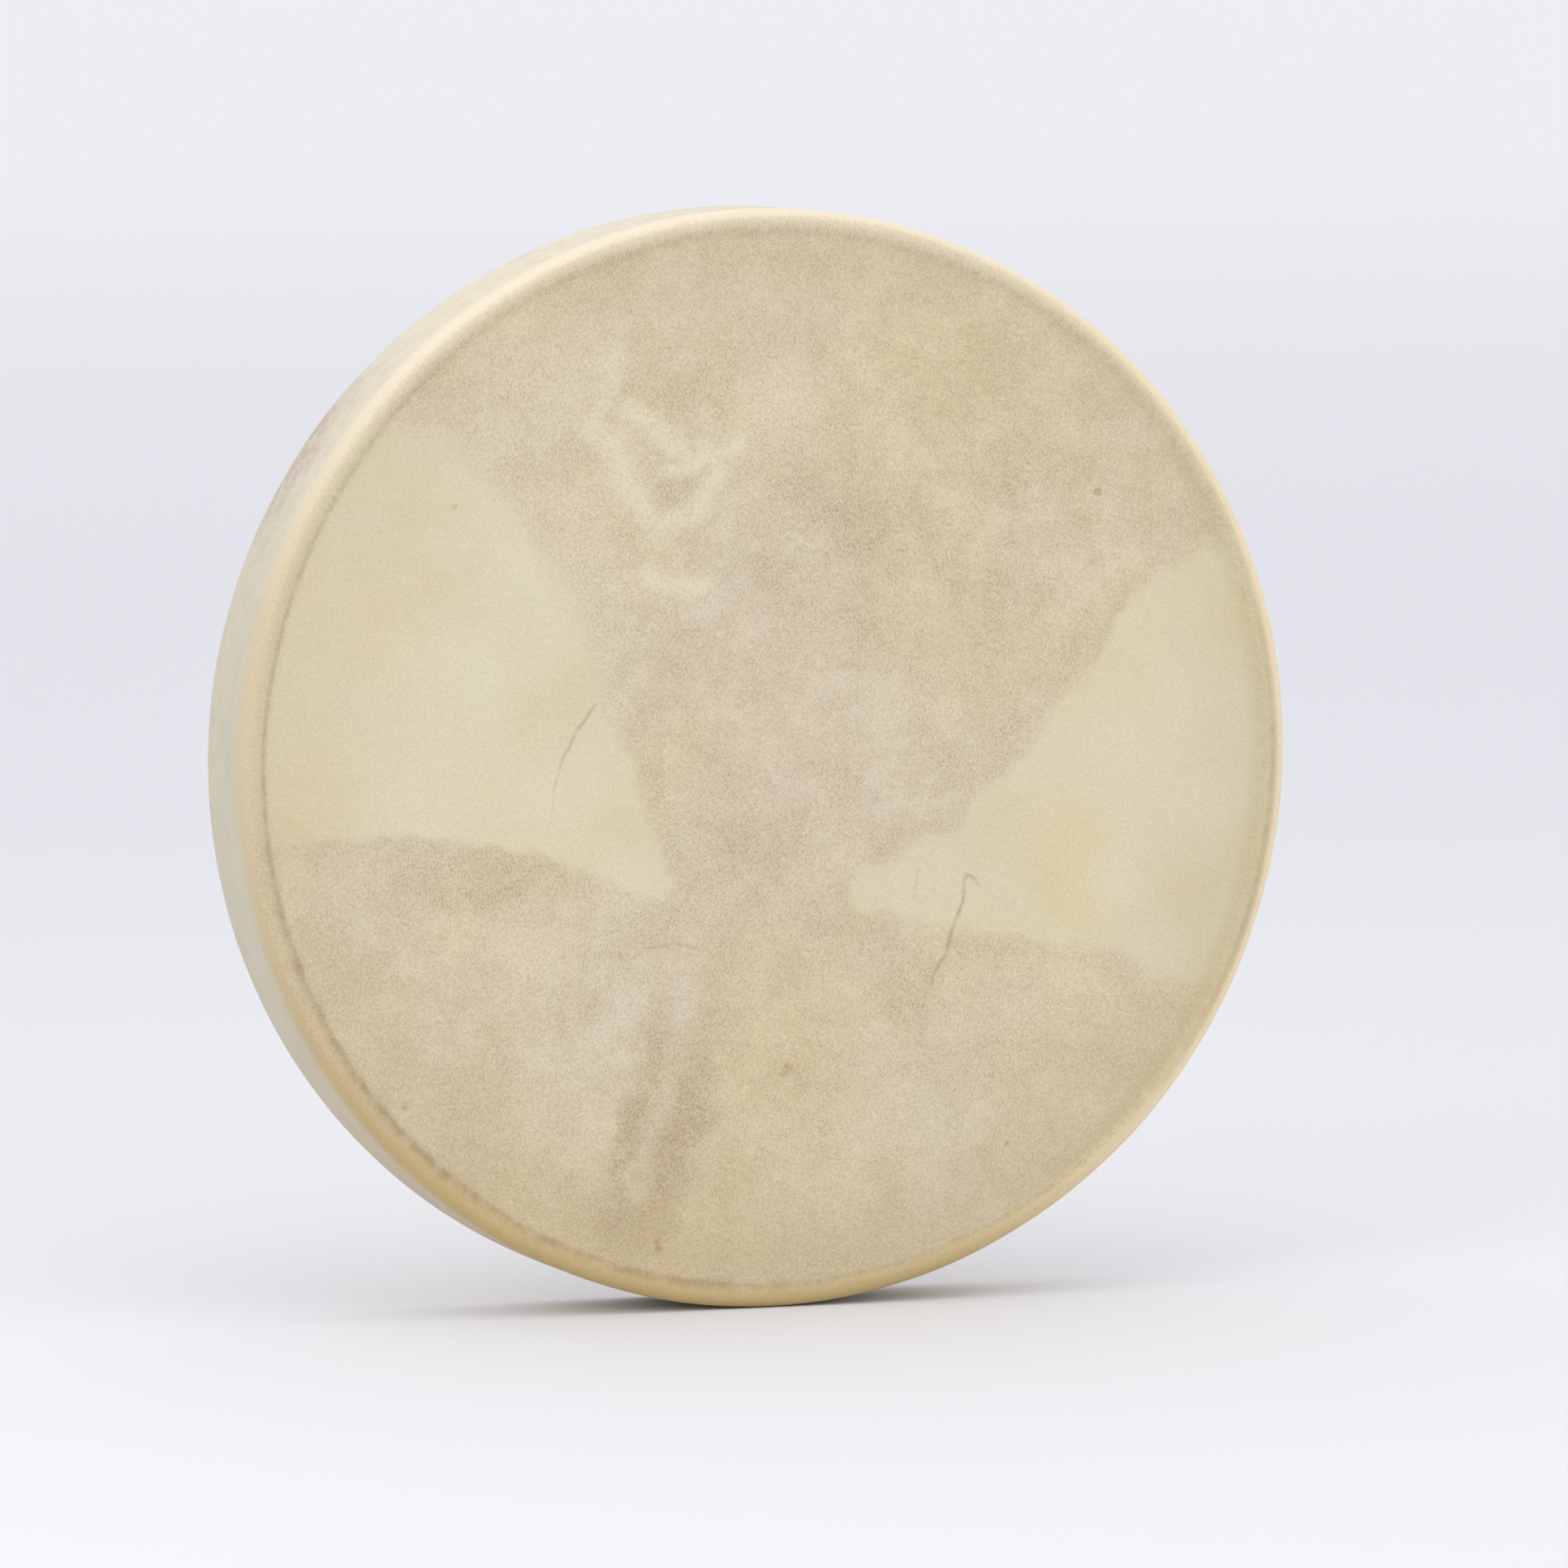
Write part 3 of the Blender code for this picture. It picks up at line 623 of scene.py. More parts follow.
# Scratches and healed bites, which are on the hair side only.
hair_side = hide.y.rise(skin_y + hide_thickness * 0.75, skin_y + hide_thickness * 0.35)
scratch = stroke((-0.0649, 0.0199), (-0.0821, -0.0303), -0.0055, 0.0011, 0.003)
scratch = scratch * up.rise(-0.034, 0.018) * 0.50
for start, end, bow, width, strength in (
    ((0.0771, -0.0421), (0.0630, -0.0830), 0.0010, 0.0013, 0.60),
    ((0.0771, -0.0421), (0.0822, -0.0452), 0.0003, 0.0011, 0.55),
    ((0.0630, -0.0845), (0.0615, -0.0795), 0.0002, 0.0010, 0.50),
    ((-0.0446, -0.0672), (-0.0228, -0.0684), 0.0003, 0.0012, 0.35),
    ((0.0580, -0.0392), (0.0568, -0.0500), 0.0002, 0.0009, 0.20),
    ((0.0646, -0.0392), (0.0636, -0.0490), 0.0002, 0.0009, 0.18),
):
    scratch = scratch.most(stroke(start, end, bow, width, 0.004) * strength)
scratch = scratch * hair_side * (0.45 + grain.rise(0.36, 0.60) * 0.55)
face = hide.mix(scratch, face, (0.370, 0.275, 0.145))
bites = spot(-0.118, 0.091, 0.0020) * 0.35
for right, high, reach, strength in (
    (-0.1460, 0.0820, 0.0018, 0.20), (0.1276, 0.0988, 0.0026, 0.70), (0.0661, 0.1263, 0.0036, 0.40),
    (0.0084, -0.1115, 0.0030, 0.60), (0.0065, -0.1140, 0.0024, 0.45), (-0.0415, -0.1774, 0.0026, 0.60),
    (-0.0424, -0.1750, 0.0022, 0.50), (-0.1376, -0.1248, 0.0024, 0.60), (-0.0555, -0.0707, 0.0022, 0.50),
    (0.0927, -0.1405, 0.0013, 0.70), (-0.0150, -0.1750, 0.0014, 0.50),
):
    bites = bites.most(spot(right, high, reach) * strength)
face = hide.mix(bites * hair_side * fine.rise(0.25, 0.60), face, (0.340, 0.200, 0.075))

# The rim: a brown line where the skin leaves the hoop, a speckled valley in painted shade, and a golden crest.
wobble = (hide.noise(40.0, 3.0) - 0.5) * 0.0022
# Painted shade in the valley inside the rim, flecked with the cut hairs.
valley = rim_mark(0.1935, 0.0060, wobble)
face = hide.mix(valley * (0.14 + hair * 0.26), face, (0.500, 0.385, 0.220))
# A darker brown line inside the rim, a little further out on the right, fading out towards the top.
line_at = across.rise(0.05, 0.17) * 0.0028 + 0.1915
inner_rim_line = rim_mark(line_at, 0.0015, wobble * 0.35) * (0.22 + grain.rise(0.36, 0.62) * 0.20)
inner_rim_line = inner_rim_line * up.rise(0.21, 0.02)
face = hide.mix(inner_rim_line, face, (0.385, 0.280, 0.140))
# The crest's gold, with painted light and shade: dark and brown at the bottom, pale at the top and on the
# right.
crest_gold_and_painted_light = hide.mix(up.rise(-0.15, 0.03), (0.535, 0.388, 0.155), (0.645, 0.528, 0.325))
crest_gold_and_painted_light = hide.mix(up.rise(0.03, 0.17), crest_gold_and_painted_light, (0.845, 0.748, 0.552))
crest_gold_and_painted_light = hide.mix(across.rise(0.05, 0.16), crest_gold_and_painted_light, (0.860, 0.735, 0.470))
round_rim = hide.node("ShaderNodeMath", {"operation": "ARCTAN2"}, {0: up, 1: across})
streaks_round, streaks_across = 240.0, 330.0
streak_sockets = {0: round_rim * streaks_round, 1: radius * streaks_across, 2: hide.y * streaks_across}
streak_place = hide.node("ShaderNodeCombineXYZ", sockets=streak_sockets)
streak = hide.noise(1.0, 2.0, 0.6, place=streak_place)
crest_band_edge = wobble + (streak - 0.5) * 0.0075
# Bands of that colour on the crest: narrow all round, wider at the top as a painted highlight, and wider at the
# bottom as painted shade.
face = hide.mix(rim_mark(0.1985, 0.0022, crest_band_edge * 0.5) * 0.75, face, crest_gold_and_painted_light)
face = hide.mix(rim_mark(0.1975, 0.0066, crest_band_edge) * up.rise(-0.05, 0.12) * 0.50, face, crest_gold_and_painted_light)
face = hide.mix(rim_mark(0.1963, 0.0056, crest_band_edge) * up.rise(-0.06, -0.16) * 0.70, face, crest_gold_and_painted_light)
right_band = rim_mark(0.1900, 0.0060, wobble) * across.rise(0.06, 0.15)
face = hide.mix(right_band * 0.26, face, (0.500, 0.425, 0.225))
# A painted highlight along the crest on the right.
face = hide.mix(rim_mark(0.1980, 0.0027, wobble * 0.5) * across.rise(0.08, 0.16) * 0.85, face, crest_gold_and_painted_light)
# A darker brown line inside the rim, low on the left.
low_left = across.rise(0.06, -0.06) * up.rise(0.02, -0.10)
low_left_line = rim_mark(0.1918, 0.0030, wobble * 0.6) * low_left * (0.16 + grain.rise(0.38, 0.62) * 0.34)
face = hide.mix(low_left_line, face, (0.345, 0.235, 0.095))

# The side is greyer and smoother than the face, with a brown stain high on the left, a stray hair dried on at
# the stain, and a worn rear edge.
# Painted light and shade on the side: paler at the top, greyer and darker lower down, and browner at the
# bottom.
side = hide.mix(up.rise(0.02, 0.17), (0.572, 0.532, 0.392), (0.725, 0.652, 0.485))
side = hide.mix(up.rise(-0.05, -0.19), side, (0.570, 0.465, 0.290))
side = hide.mix(light_cloud * 0.30, side, (0.660, 0.610, 0.470))
side = hide.mix(grain.rise(0.42, 0.70) * 0.30, side, (0.520, 0.455, 0.325))
side_stain = attribute("side_stain") * hide.y.rise(front_y + 0.010, front_y + 0.034)
side_stain = side_stain * (0.40 + grain.rise(0.38, 0.62) * 0.35 + hair * 0.35).least(1.0)
side = hide.mix(side_stain, side, (0.440, 0.345, 0.275))
side = hide.mix(hide.y.rise(rear_y - 0.0030, rear_y - 0.0008) * 0.45, side, (0.500, 0.435, 0.330))
# Near the front edge the side takes the crest's colour, with its painted light and shade.
side = hide.mix(hide.y.rise(front_y + 0.0150, front_y + 0.0035) * 0.80, side, crest_gold_and_painted_light)
hair_line = (hide.y - middle.y) * 0.77 - up * 0.64
side_hair = (hair_line - 0.0242).size().rise(0.00025, 0.0)
side_hair = side_hair * ((hide.y - middle.y) - 0.0182).size().rise(0.0024, 0.0020)
side_hair = side_hair * across.rise(-0.18, -0.19)
side = hide.mix(side_hair * 0.9, side, (0.030, 0.022, 0.018))

off_face = hide.y.rise(front_y + 0.0030, front_y + 0.0042).most(radius.rise(0.1984, 0.1993))
colour = hide.mix(off_face, face, side)
hide.set(base_color=colour, roughness=0.52 + fine * 0.1)
hide.bump(fine * 0.7 + grain * 0.8 - hair * 0.5 + streak * radius.rise(0.190, 0.197) * 0.9, 0.00014)

head = link(bpy.data.objects.new("drum_head", head_data), hide.material)
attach(head, "root")
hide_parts("rawhide_head")


# ---- The hoop
# Two strips of ash, steamed, bent round and glued one inside the other. Each strip's ends meet in a slanted
# seam, on opposite sides of the drum, and the inner strip's front edge is bevelled clear of the skin.

fit_gap = 0.0003
ply_thickness = 0.0031
ply_outer_radius = drum_radius - hide_thickness - fit_gap
hoop_front, hoop_rear = front_y + hide_thickness + fit_gap, rear_y - hide_thickness - fit_gap
seam_gap = 0.0004
seam_lean = math.tan(math.radians(35.0))
ply_edge = 0.0008
ply_steps = 320
sharp_angle = math.radians(38.0)


def ply(name, profile, seam_angle, cad_node):
    """One strip, turned from its seam all the way round, with leaning ends and its length written down."""
    start = seam_angle + seam_gap / 2 / ply_outer_radius
    bm = spun(profile, ply_steps, 2 * math.pi - seam_gap / ply_outer_radius, start, closed=True)
    bmesh.ops.holes_fill(bm, edges=[edge for edge in bm.edges if edge.is_boundary], sides=0)
    length = bm.verts.layers.float.new("length")
    for vert in bm.verts:
        angle, radius = polar(vert.co)
        turn = (angle - start + 0.0001) % (2 * math.pi) - 0.0001
        vert[length] = turn * radius
        leant = angle - seam_lean * (vert.co.y - middle.y) / ply_outer_radius
        vert.co.x = middle.x + radius * math.cos(leant)
        vert.co.z = middle.z + radius * math.sin(leant)
    piece = finished(name, bm, wood.material)
    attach(piece, "root")
    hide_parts(cad_node)


def finished(name, bm, *materials):
    """Makes a piece of a bmesh: its faces point outwards, and edges past the sharp angle stay sharp."""
    bmesh.ops.recalc_face_normals(bm, faces=bm.faces)
    for face in bm.faces:
        face.smooth = True
    for edge in bm.edges:
        edge.smooth = edge.calc_face_angle(0.0) < sharp_angle
    data = bpy.data.meshes.new(name)
    bm.to_mesh(data)
    bm.free()
    return link(bpy.data.objects.new(name, data), *materials)


wood = Recipe("bent_ash")
length = wood.node("ShaderNodeAttribute", {"attribute_name": "length"}, output=2)
grain_place = wood.node("ShaderNodeCombineXYZ", sockets={0: length, 1: wood.y, 2: 0.0})
wander = wood.noise(9.0, 2.0, place=grain_place, stretch=(0.35, 1.0, 1.0))
rings = wood.noise(1.0, 3.0, 0.6, place=grain_place, stretch=(4.0, 330.0, 1.0), distortion=0.6)
broad = wood.noise(1.0, 2.0, 0.5, place=grain_place, stretch=(2.5, 90.0, 1.0), distortion=0.8)
pores = wood.noise(1.0, 1.0, 0.5, place=grain_place, stretch=(190.0, 3200.0, 1.0)).rise(0.60, 0.70)
pores = pores * rings.rise(0.45, 0.62)
ash = wood.mix(broad.rise(0.36, 0.66), (0.62, 0.46, 0.27), (0.52, 0.35, 0.19))
ash = wood.mix(rings.rise(0.50, 0.66) * 0.55, ash, (0.38, 0.235, 0.12))
ash = wood.mix(pores * 0.7, ash, (0.20, 0.11, 0.05))
ash = wood.mix(wander.rise(0.35, 0.70) * 0.25, ash, (0.66, 0.50, 0.31))
wood.set(base_color=ash, roughness=0.42 + pores * 0.3 + rings * 0.1)
wood.bump(rings * 0.5 - pores * 0.9, 0.00008)

outer_inside = ply_outer_radius - ply_thickness
wood_round = edge_round - hide_thickness - fit_gap
outer_ply = []
for i in range(7):
    angle = math.pi / 2 * i / 6
    out, back = wood_round * math.sin(angle), wood_round * (1 - math.cos(angle))
    outer_ply.append((ply_outer_radius - wood_round + out, hoop_front + back))
outer_ply += [(ply_outer_radius, hoop_front + (hoop_rear - hoop_front) * share) for share in (0.3, 0.5, 0.7)]
outer_ply += [(ply_outer_radius, hoop_rear - ply_edge), (ply_outer_radius - ply_edge, hoop_rear)]
outer_ply += [(outer_inside, hoop_rear), (outer_inside, hoop_front)]
ply("hoop_outer_strip", outer_ply, math.radians(225.0), "hoop_outer_ply")

inner_outside = outer_inside - fit_gap
inner_inside = inner_outside - ply_thickness
bevel_drop = 0.0012
inner_ply = [
    (inner_inside + ply_edge / 2, hoop_front + bevel_drop),
    (inner_outside - 0.0002, hoop_front + 0.0002),
    (inner_outside, hoop_front + 0.0005),
    (inner_outside, hoop_rear - 0.0003),
    (inner_outside - 0.0003, hoop_rear),
    (inner_inside + ply_edge, hoop_rear),
    (inner_inside + ply_edge * 0.3, hoop_rear - ply_edge * 0.3),
    (inner_inside, hoop_rear - ply_edge),
    (inner_inside, hoop_front + bevel_drop + ply_edge),
]
ply("hoop_inner_strip", inner_ply, math.radians(45.0), "hoop_inner_ply")


# ---- The tacks
# Eight copper tacks hold the two seams while the glue sets. They are driven from outside, with their heads
# sunk under the hide, and clenched over on the inside, where the hammer has flattened them.

tack_head_radius, tack_shank_radius, tack_clench_radius = 0.0022, 0.0009, 0.0024
tack_seams = (math.radians(45.0), math.radians(225.0))
tack_aside, tack_up = 0.009, 0.012
hammer_dent = 0.00016

copper = Recipe("dull_copper")
tarnish = copper.noise(420.0, 3.0, 0.6)
copper.set(
    base_color=copper.mix(tarnish.rise(0.4, 0.7), (0.64, 0.29, 0.17), (0.33, 0.14, 0.08)),
    metallic=1.0,
    roughness=0.30 + tarnish * 0.3,
)
copper.bump(copper.noise(1500.0, 2.0), 0.00006)

clench_depth = 2 * ply_thickness + 2 * fit_gap
tack_profile = [
    (0.0, 0.0001),
    (tack_head_radius * 0.8, 0.0001),
    (tack_head_radius, 0.0003),
    (tack_shank_radius * 1.2, 0.0009),
    (tack_shank_radius, 0.0013),
    (tack_shank_radius, clench_depth),
    (tack_clench_radius * 0.94, clench_depth),
    (tack_clench_radius, clench_depth + 0.0003),
    (tack_clench_radius * 0.82, clench_depth + 0.0007),
    (tack_clench_radius * 0.45, clench_depth + 0.0010),
    (0.0, clench_depth + 0.0011),
]


def turned(profile, steps):
    """A bmesh turned from (radius, height) pairs about its own Z."""
    bm = bmesh.new()
    points = [bm.verts.new((radius, 0.0, height)) for radius, height in profile]
    edges = [bm.edges.new(pair) for pair in zip(points, points[1:])]
    cent, axis, still = (0.0, 0.0, 0.0), (0.0, 0.0, 1.0), (0.0, 0.0, 0.0)
    geometry = points + edges
    bmesh.ops.spin(
        bm, geom=geometry, cent=cent, axis=axis, dvec=still, angle=2 * math.pi, steps=steps, use_merge=True
    )
    bmesh.ops.remove_doubles(bm, verts=bm.verts, dist=0.000005)
    return bm


tack_number = 0
for seam in tack_seams:
    for up_by in (-tack_up, tack_up):
        for aside_by in (-tack_aside, tack_aside):
            tack_number += 1
            angle = seam + (seam_lean * up_by + aside_by) / ply_outer_radius
            inwards = Vector((-math.cos(angle), 0.0, -math.sin(angle)))
            bm = turned(tack_profile, 20)
            for vert in bm.verts:
                if vert.co.z > clench_depth - 0.0001:
                    dent = noise.noise(Vector((tack_number * 3.1, vert.co.x * 600, vert.co.y * 600)))
                    vert.co.z += hammer_dent * min(0.0, dent)
            turn = inwards.to_track_quat("Z", "Y").to_matrix().to_4x4()
            start = middle - inwards * ply_outer_radius + Vector((0.0, -up_by, 0.0))
            bm.transform(Matrix.Translation(start) @ turn)
            tack = finished(f"copper_tack_{tack_number}", bm, copper.material)
            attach(tack, "root")
            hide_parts(f"hoop_tack_{tack_number}")


# ---- The ring and its sleeve
# A welded steel ring in the middle of the back, with a strip of soft leather folded round it and closed along
# the inner side with a whipped seam of waxed thread.

ring_radius = 0.024
ring_wire_radius = 0.0025
sleeve_thickness = 0.0011
sleeve_radius = ring_wire_radius + fit_gap + sleeve_thickness
sleeve_edge_dip, sleeve_unevenness = 0.00025, 0.00014
ring_low, ring_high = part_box("handle_ring")
handle_y = (ring_low.y + ring_high.y) / 2
ring_middle = Vector((middle.x, handle_y, middle.z))

steel = Recipe("ring_steel")
scratches = steel.noise(2600.0, 2.0, 0.6)
steel.set(
    base_color=steel.mix(scratches, (0.36, 0.36, 0.37), (0.50, 0.50, 0.51)),
    metallic=1.0,
    roughness=0.3 + scratches * 0.2,
)
steel.bump(scratches, 0.00003)
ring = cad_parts["handle_ring"]
ring.data.materials.clear()
ring.data.materials.append(steel.material)

leather = Recipe("brown_leather")
pebble_sockets = {0: leather.place, "Scale": 1150.0}
pebble = leather.node("ShaderNodeTexVoronoi", {"feature": "DISTANCE_TO_EDGE"}, pebble_sockets)
pebble = pebble.rise(0.0, 0.16)
nap = leather.noise(2400.0, 3.0, 0.6)
dye = leather.noise(85.0, 3.0, 0.55)
rubbed = leather.noise(210.0, 3.0, 0.6).rise(0.48, 0.72)
tone = leather.mix(dye.rise(0.35, 0.68), (0.105, 0.046, 0.022), (0.175, 0.085, 0.042))
tone = leather.mix(rubbed * 0.45, tone, (0.26, 0.14, 0.075))
tone = leather.mix((1 - pebble) * 0.5, tone, (0.055, 0.024, 0.012))
leather.set(base_color=tone, roughness=0.62 - rubbed * 0.14 + nap * 0.12)
leather.bump(pebble * 0.7 + nap * 0.5, 0.00016)

slit = math.radians(9.0)
sleeve_profile = []
for i in range(25):
    angle = math.pi - slit - (2 * math.pi - 2 * slit) * i / 24
    roll = sleeve_radius - sleeve_edge_dip * (abs(i - 12) == 12)
    sleeve_profile.append((ring_radius + roll * math.cos(angle), roll * math.sin(angle)))
for i in range(17):
    angle = -math.pi + slit + (2 * math.pi - 2 * slit) * i / 16
    roll = ring_wire_radius + fit_gap / 2
    sleeve_profile.append((ring_radius + roll * math.cos(angle), roll * math.sin(angle)))
sleeve_bm = spun([(radius, handle_y + y) for radius, y in sleeve_profile], 120, closed=True)
for vert in sleeve_bm.verts:
    angle, radius = polar(vert.co)
    off = radius - ring_radius
    from_wire = Vector((math.cos(angle) * off, vert.co.y - handle_y, math.sin(angle) * off))
    if from_wire.length > ring_wire_radius + fit_gap:
        vert.co += from_wire.normalized() * sleeve_unevenness * noise.noise(vert.co * 260.0)
sleeve = finished("ring_leather", sleeve_bm, leather.material)
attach(sleeve, "root")
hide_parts("ring_sleeve")

thread = Recipe("waxed_thread")
strands = thread.noise(3000.0, 2.0)
thread.set(base_color=thread.mix(strands, (0.48, 0.36, 0.20), (0.66, 0.53, 0.33)), roughness=0.5)
thread.bump(strands, 0.00008)


def cord_curve(name, paths, radius, sides=2):
    """Round cords along lists of points, as one curve object's mesh."""
    curve = bpy.data.curves.new(name, "CURVE")
    curve.dimensions = "3D"
    curve.bevel_depth = radius
    curve.bevel_resolution = sides
    curve.use_fill_caps = True
    for path in paths:
        spline = curve.splines.new("POLY")
        spline.points.add(len(path) - 1)
        for point, place in zip(spline.points, path):
            point.co = (*place, 1.0)
    return curve


def cord_piece(name, curve, *materials):
    """The mesh of a curve, closed and smooth, as a piece."""
    maker = bpy.data.objects.new(name + "_curve", curve)
    bpy.context.scene.collection.objects.link(maker)
    graph = bpy.context.evaluated_depsgraph_get()
    data = bpy.data.meshes.new_from_object(maker.evaluated_get(graph))
    bpy.data.objects.remove(maker)
    bm = bmesh.new()
    bm.from_mesh(data)
    bmesh.ops.remove_doubles(bm, verts=bm.verts, dist=0.000005)
    bpy.data.meshes.remove(data)
    return finished(name, bm, *materials)


stitch_count = 40
stitch_radius = 0.00036
stitch_reach = math.radians(27.0)
stitch_slant, stitch_proud, stitch_bite = 0.34, 0.00022, 0.0007
stitch_paths = []
for n in range(stitch_count):
    path = []
    for i in range(7):
        share = i / 6 * 2 - 1
        around = math.pi + stitch_reach * share
        bearing = (n + 0.5 + stitch_slant * share) / stitch_count * 2 * math.pi
        roll = sleeve_radius + stitch_proud - stitch_bite * share**6
        reach = ring_radius + roll * math.cos(around)
        along = Vector((math.cos(bearing) * reach, roll * math.sin(around), math.sin(bearing) * reach))
        path.append(ring_middle + along)
    stitch_paths.append(path)
stitch_curve = cord_curve("sleeve_stitches", stitch_paths, stitch_radius, sides=1)
stitches = cord_piece("sleeve_stitches", stitch_curve, thread.material)
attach(stitches, "root")


# ---- The laces
# Four long strips of wet rawhide, one to each quarter of the drum. Each goes down through a hole in the lip
# to the ring, round it and back up to the next hole, three times. It is knotted at both ends and dries taut.

quarters = 4
holes_per_quarter = hole_count // quarters
hole_step = 2 * math.pi / hole_count
lace_radius = 0.0015
lace_pitch = 0.0036
lace_clearance = lace_radius + 0.00045
lace_half_width, lace_half_thickness = 0.00185, 0.00115
binding_start, binding_end = 0.0365, 0.078
turn_from, turn_sweep, turn_steps = -66.0, 228.0, 12
knot_steps = 40
knot_aside, knot_inwards, knot_lift = 0.0068, 0.0006, 0.0003
knot_end = math.radians(165.0)
knot_spread, knot_depth = 0.00092, 0.0007
twist_length, twist_sway, width_sway = 0.024, 3.0, 0.16
section_sides = 12

lace_hide = Recipe("lace_rawhide")
strand = lace_hide.noise(1300.0, 3.0, 0.6)
gristle = lace_hide.noise(110.0, 3.0, 0.6)
lace_tone = lace_hide.mix(gristle.rise(0.34, 0.68), (0.60, 0.45, 0.25), (0.70, 0.58, 0.37))
lace_tone = lace_hide.mix(strand.rise(0.52, 0.75) * 0.5, lace_tone, (0.42, 0.27, 0.13))
lace_hide.set(base_color=lace_tone, roughness=0.36 + strand * 0.2)
lace_hide.bump(strand, 0.00014)


def quarter_axes(quarter):
    """A quarter's direction out from the middle, and the direction across it."""
    angle = quarter * 2 * math.pi / quarters
    return (
        Vector((math.cos(angle), 0.0, math.sin(angle))),
        Vector((-math.sin(angle), 0.0, math.cos(angle))),
    )


def lip_face_y(radius):
    """The y of the lip's outer face at a distance from the drum's axis."""
    return rear_y - (lip_start_radius - radius) * lip_slope


def hole_corners(angle):
    """A lace's corners at a hole: over the lip, under it, and under the lip's tip."""
    out = Vector((math.cos(angle), 0.0, math.sin(angle)))
    upright = math.hypot(1.0, lip_slope)
    over = lip_face_y(hole_ring_radius) + lace_clearance * upright
    under = lip_face_y(hole_ring_radius) - (hide_thickness + lace_clearance) * upright
    tip_radius = lip_tip_radius - 0.0016
    past = lip_face_y(tip_radius) - (hide_thickness + lace_clearance + 0.0008) * upright
    return [
        Vector((middle.x, over, middle.z)) + out * hole_ring_radius,
        Vector((middle.x, under, middle.z)) + out * (hole_ring_radius - 0.0004),
        Vector((middle.x, past, middle.z)) + out * tip_radius,
    ]


def ring_turn(out, across, offset):
    """A lace's half turn round the ring's sleeve, from the skin's side to the back."""
    reach = math.sqrt(ring_radius**2 - offset**2)
    roll = sleeve_radius + lace_half_thickness + 0.0003
    points = []
    for i in range(turn_steps + 1):
        angle = math.radians(turn_from - turn_sweep * i / turn_steps)
        place = out * (reach + roll * math.cos(angle)) + across * offset
        points.append(ring_middle + place + Vector((0.0, roll * math.sin(angle), 0.0)))
    return points


def rounded(corners, radii, steps):
    """A path through the corners, each one rounded by an arc of its own radius."""
    points = [corners[0]]
    for i in range(1, len(corners) - 1):
        here = corners[i]
        back = (corners[i - 1] - here).normalized()
        ahead = (corners[i + 1] - here).normalized()
        turn = math.pi - back.angle(ahead)
        if turn < math.radians(3.0) or radii[i] == 0:
            points.append(here)
            continue
        reach = radii[i] * math.tan(turn / 2)
        arc_middle = here + (back + ahead).normalized() * radii[i] / math.cos(turn / 2)
        start, end = here + back * reach - arc_middle, here + ahead * reach - arc_middle
        for step in range(steps + 1):
            points.append(arc_middle + start.slerp(end, step / steps).normalized() * radii[i])
    return points + [corners[-1]]


def evenly(points, step):
    """The same path with more points, so that none is further than a step from the next."""
    spaced = [points[0]]
    for start, end in zip(points, points[1:]):
        count = max(1, math.ceil((end - start).length / step))
        spaced += [start.lerp(end, i / count) for i in range(1, count + 1)]
    return spaced


def lace_knot(angle, lean):
    """Points for an overhand knot that lies on the lip just past a hole, and for its short tail."""
    along = Vector((-math.sin(angle), 0.0, math.cos(angle))) * lean
    out = Vector((math.cos(angle), 0.0, math.sin(angle)))
    rear = Vector((0.0, 1.0, 0.0))
    centre = hole_corners(angle)[0] + along * knot_aside - out * knot_inwards + rear * knot_lift
    points = []
    for i in range(knot_steps + 1):
        turn = knot_end * (2 * i / knot_steps - 1)
        ahead = -math.sin(turn) - 2 * math.sin(2 * turn)
        aside = 2 * math.cos(2 * turn) - math.cos(turn)
        flat = (along * ahead + out * aside) * knot_spread
        points.append(centre + flat - rear * (math.sin(3 * turn) * knot_depth))
    points.append(points[-1] + along * 0.0038 - out * 0.0010)
    points.append(points[-1] + along * 0.0050 - out * 0.0022)
    return points


def lace_path(quarter):
    """One quarter's lace from knot to knot."""
    out, across = quarter_axes(quarter)
    first = quarter * 2 * math.pi / quarters - (holes_per_quarter - 1) / 2 * hole_step
    trips = holes_per_quarter // 2
    corners, radii = [], []
    for trip in range(trips):
        offset = (trip - (trips - 1) / 2) * lace_pitch
        lines = []
        for side in (-1, 1):
            depth = Vector((0.0, side * lace_pitch / 2, 0.0))
            mouth = ring_middle + out * (binding_end + 0.0035) + across * offset + depth
            inner = ring_middle + out * (binding_start - 0.0015) + across * offset + depth
            lines.append([mouth, inner])
        turn = ring_turn(out, across, offset)
        corners += hole_corners(first + 2 * trip * hole_step) + lines[0] + turn
        corners += lines[1][::-1] + hole_corners(first + (2 * trip + 1) * hole_step)[::-1]
        radii += [0.0022, 0.0022, 0.010, 0.012, 0.006] + [0] * len(turn)
        radii += [0.006, 0.012, 0.010, 0.0022, 0.0022]
    start_knot = lace_knot(first, -1)[::-1]
    end_knot = lace_knot(first + (holes_per_quarter - 1) * hole_step, 1)
    corners = start_knot + corners + end_knot
    radii = [0] * len(start_knot) + radii + [0] * len(end_knot)
    return evenly(rounded(corners, radii, 6), 0.0035)


strip_section = bpy.data.curves.new("lace_section", "CURVE")
section_spline = strip_section.splines.new("POLY")
section_spline.points.add(section_sides - 1)
section_spline.use_cyclic_u = True
for i, point in enumerate(section_spline.points):
    angle = 2 * math.pi * i / section_sides
    point.co = (lace_half_width * math.cos(angle), lace_half_thickness * math.sin(angle), 0.0, 1.0)
section_object = bpy.data.objects.new("lace_section", strip_section)
bpy.context.scene.collection.objects.link(section_object)

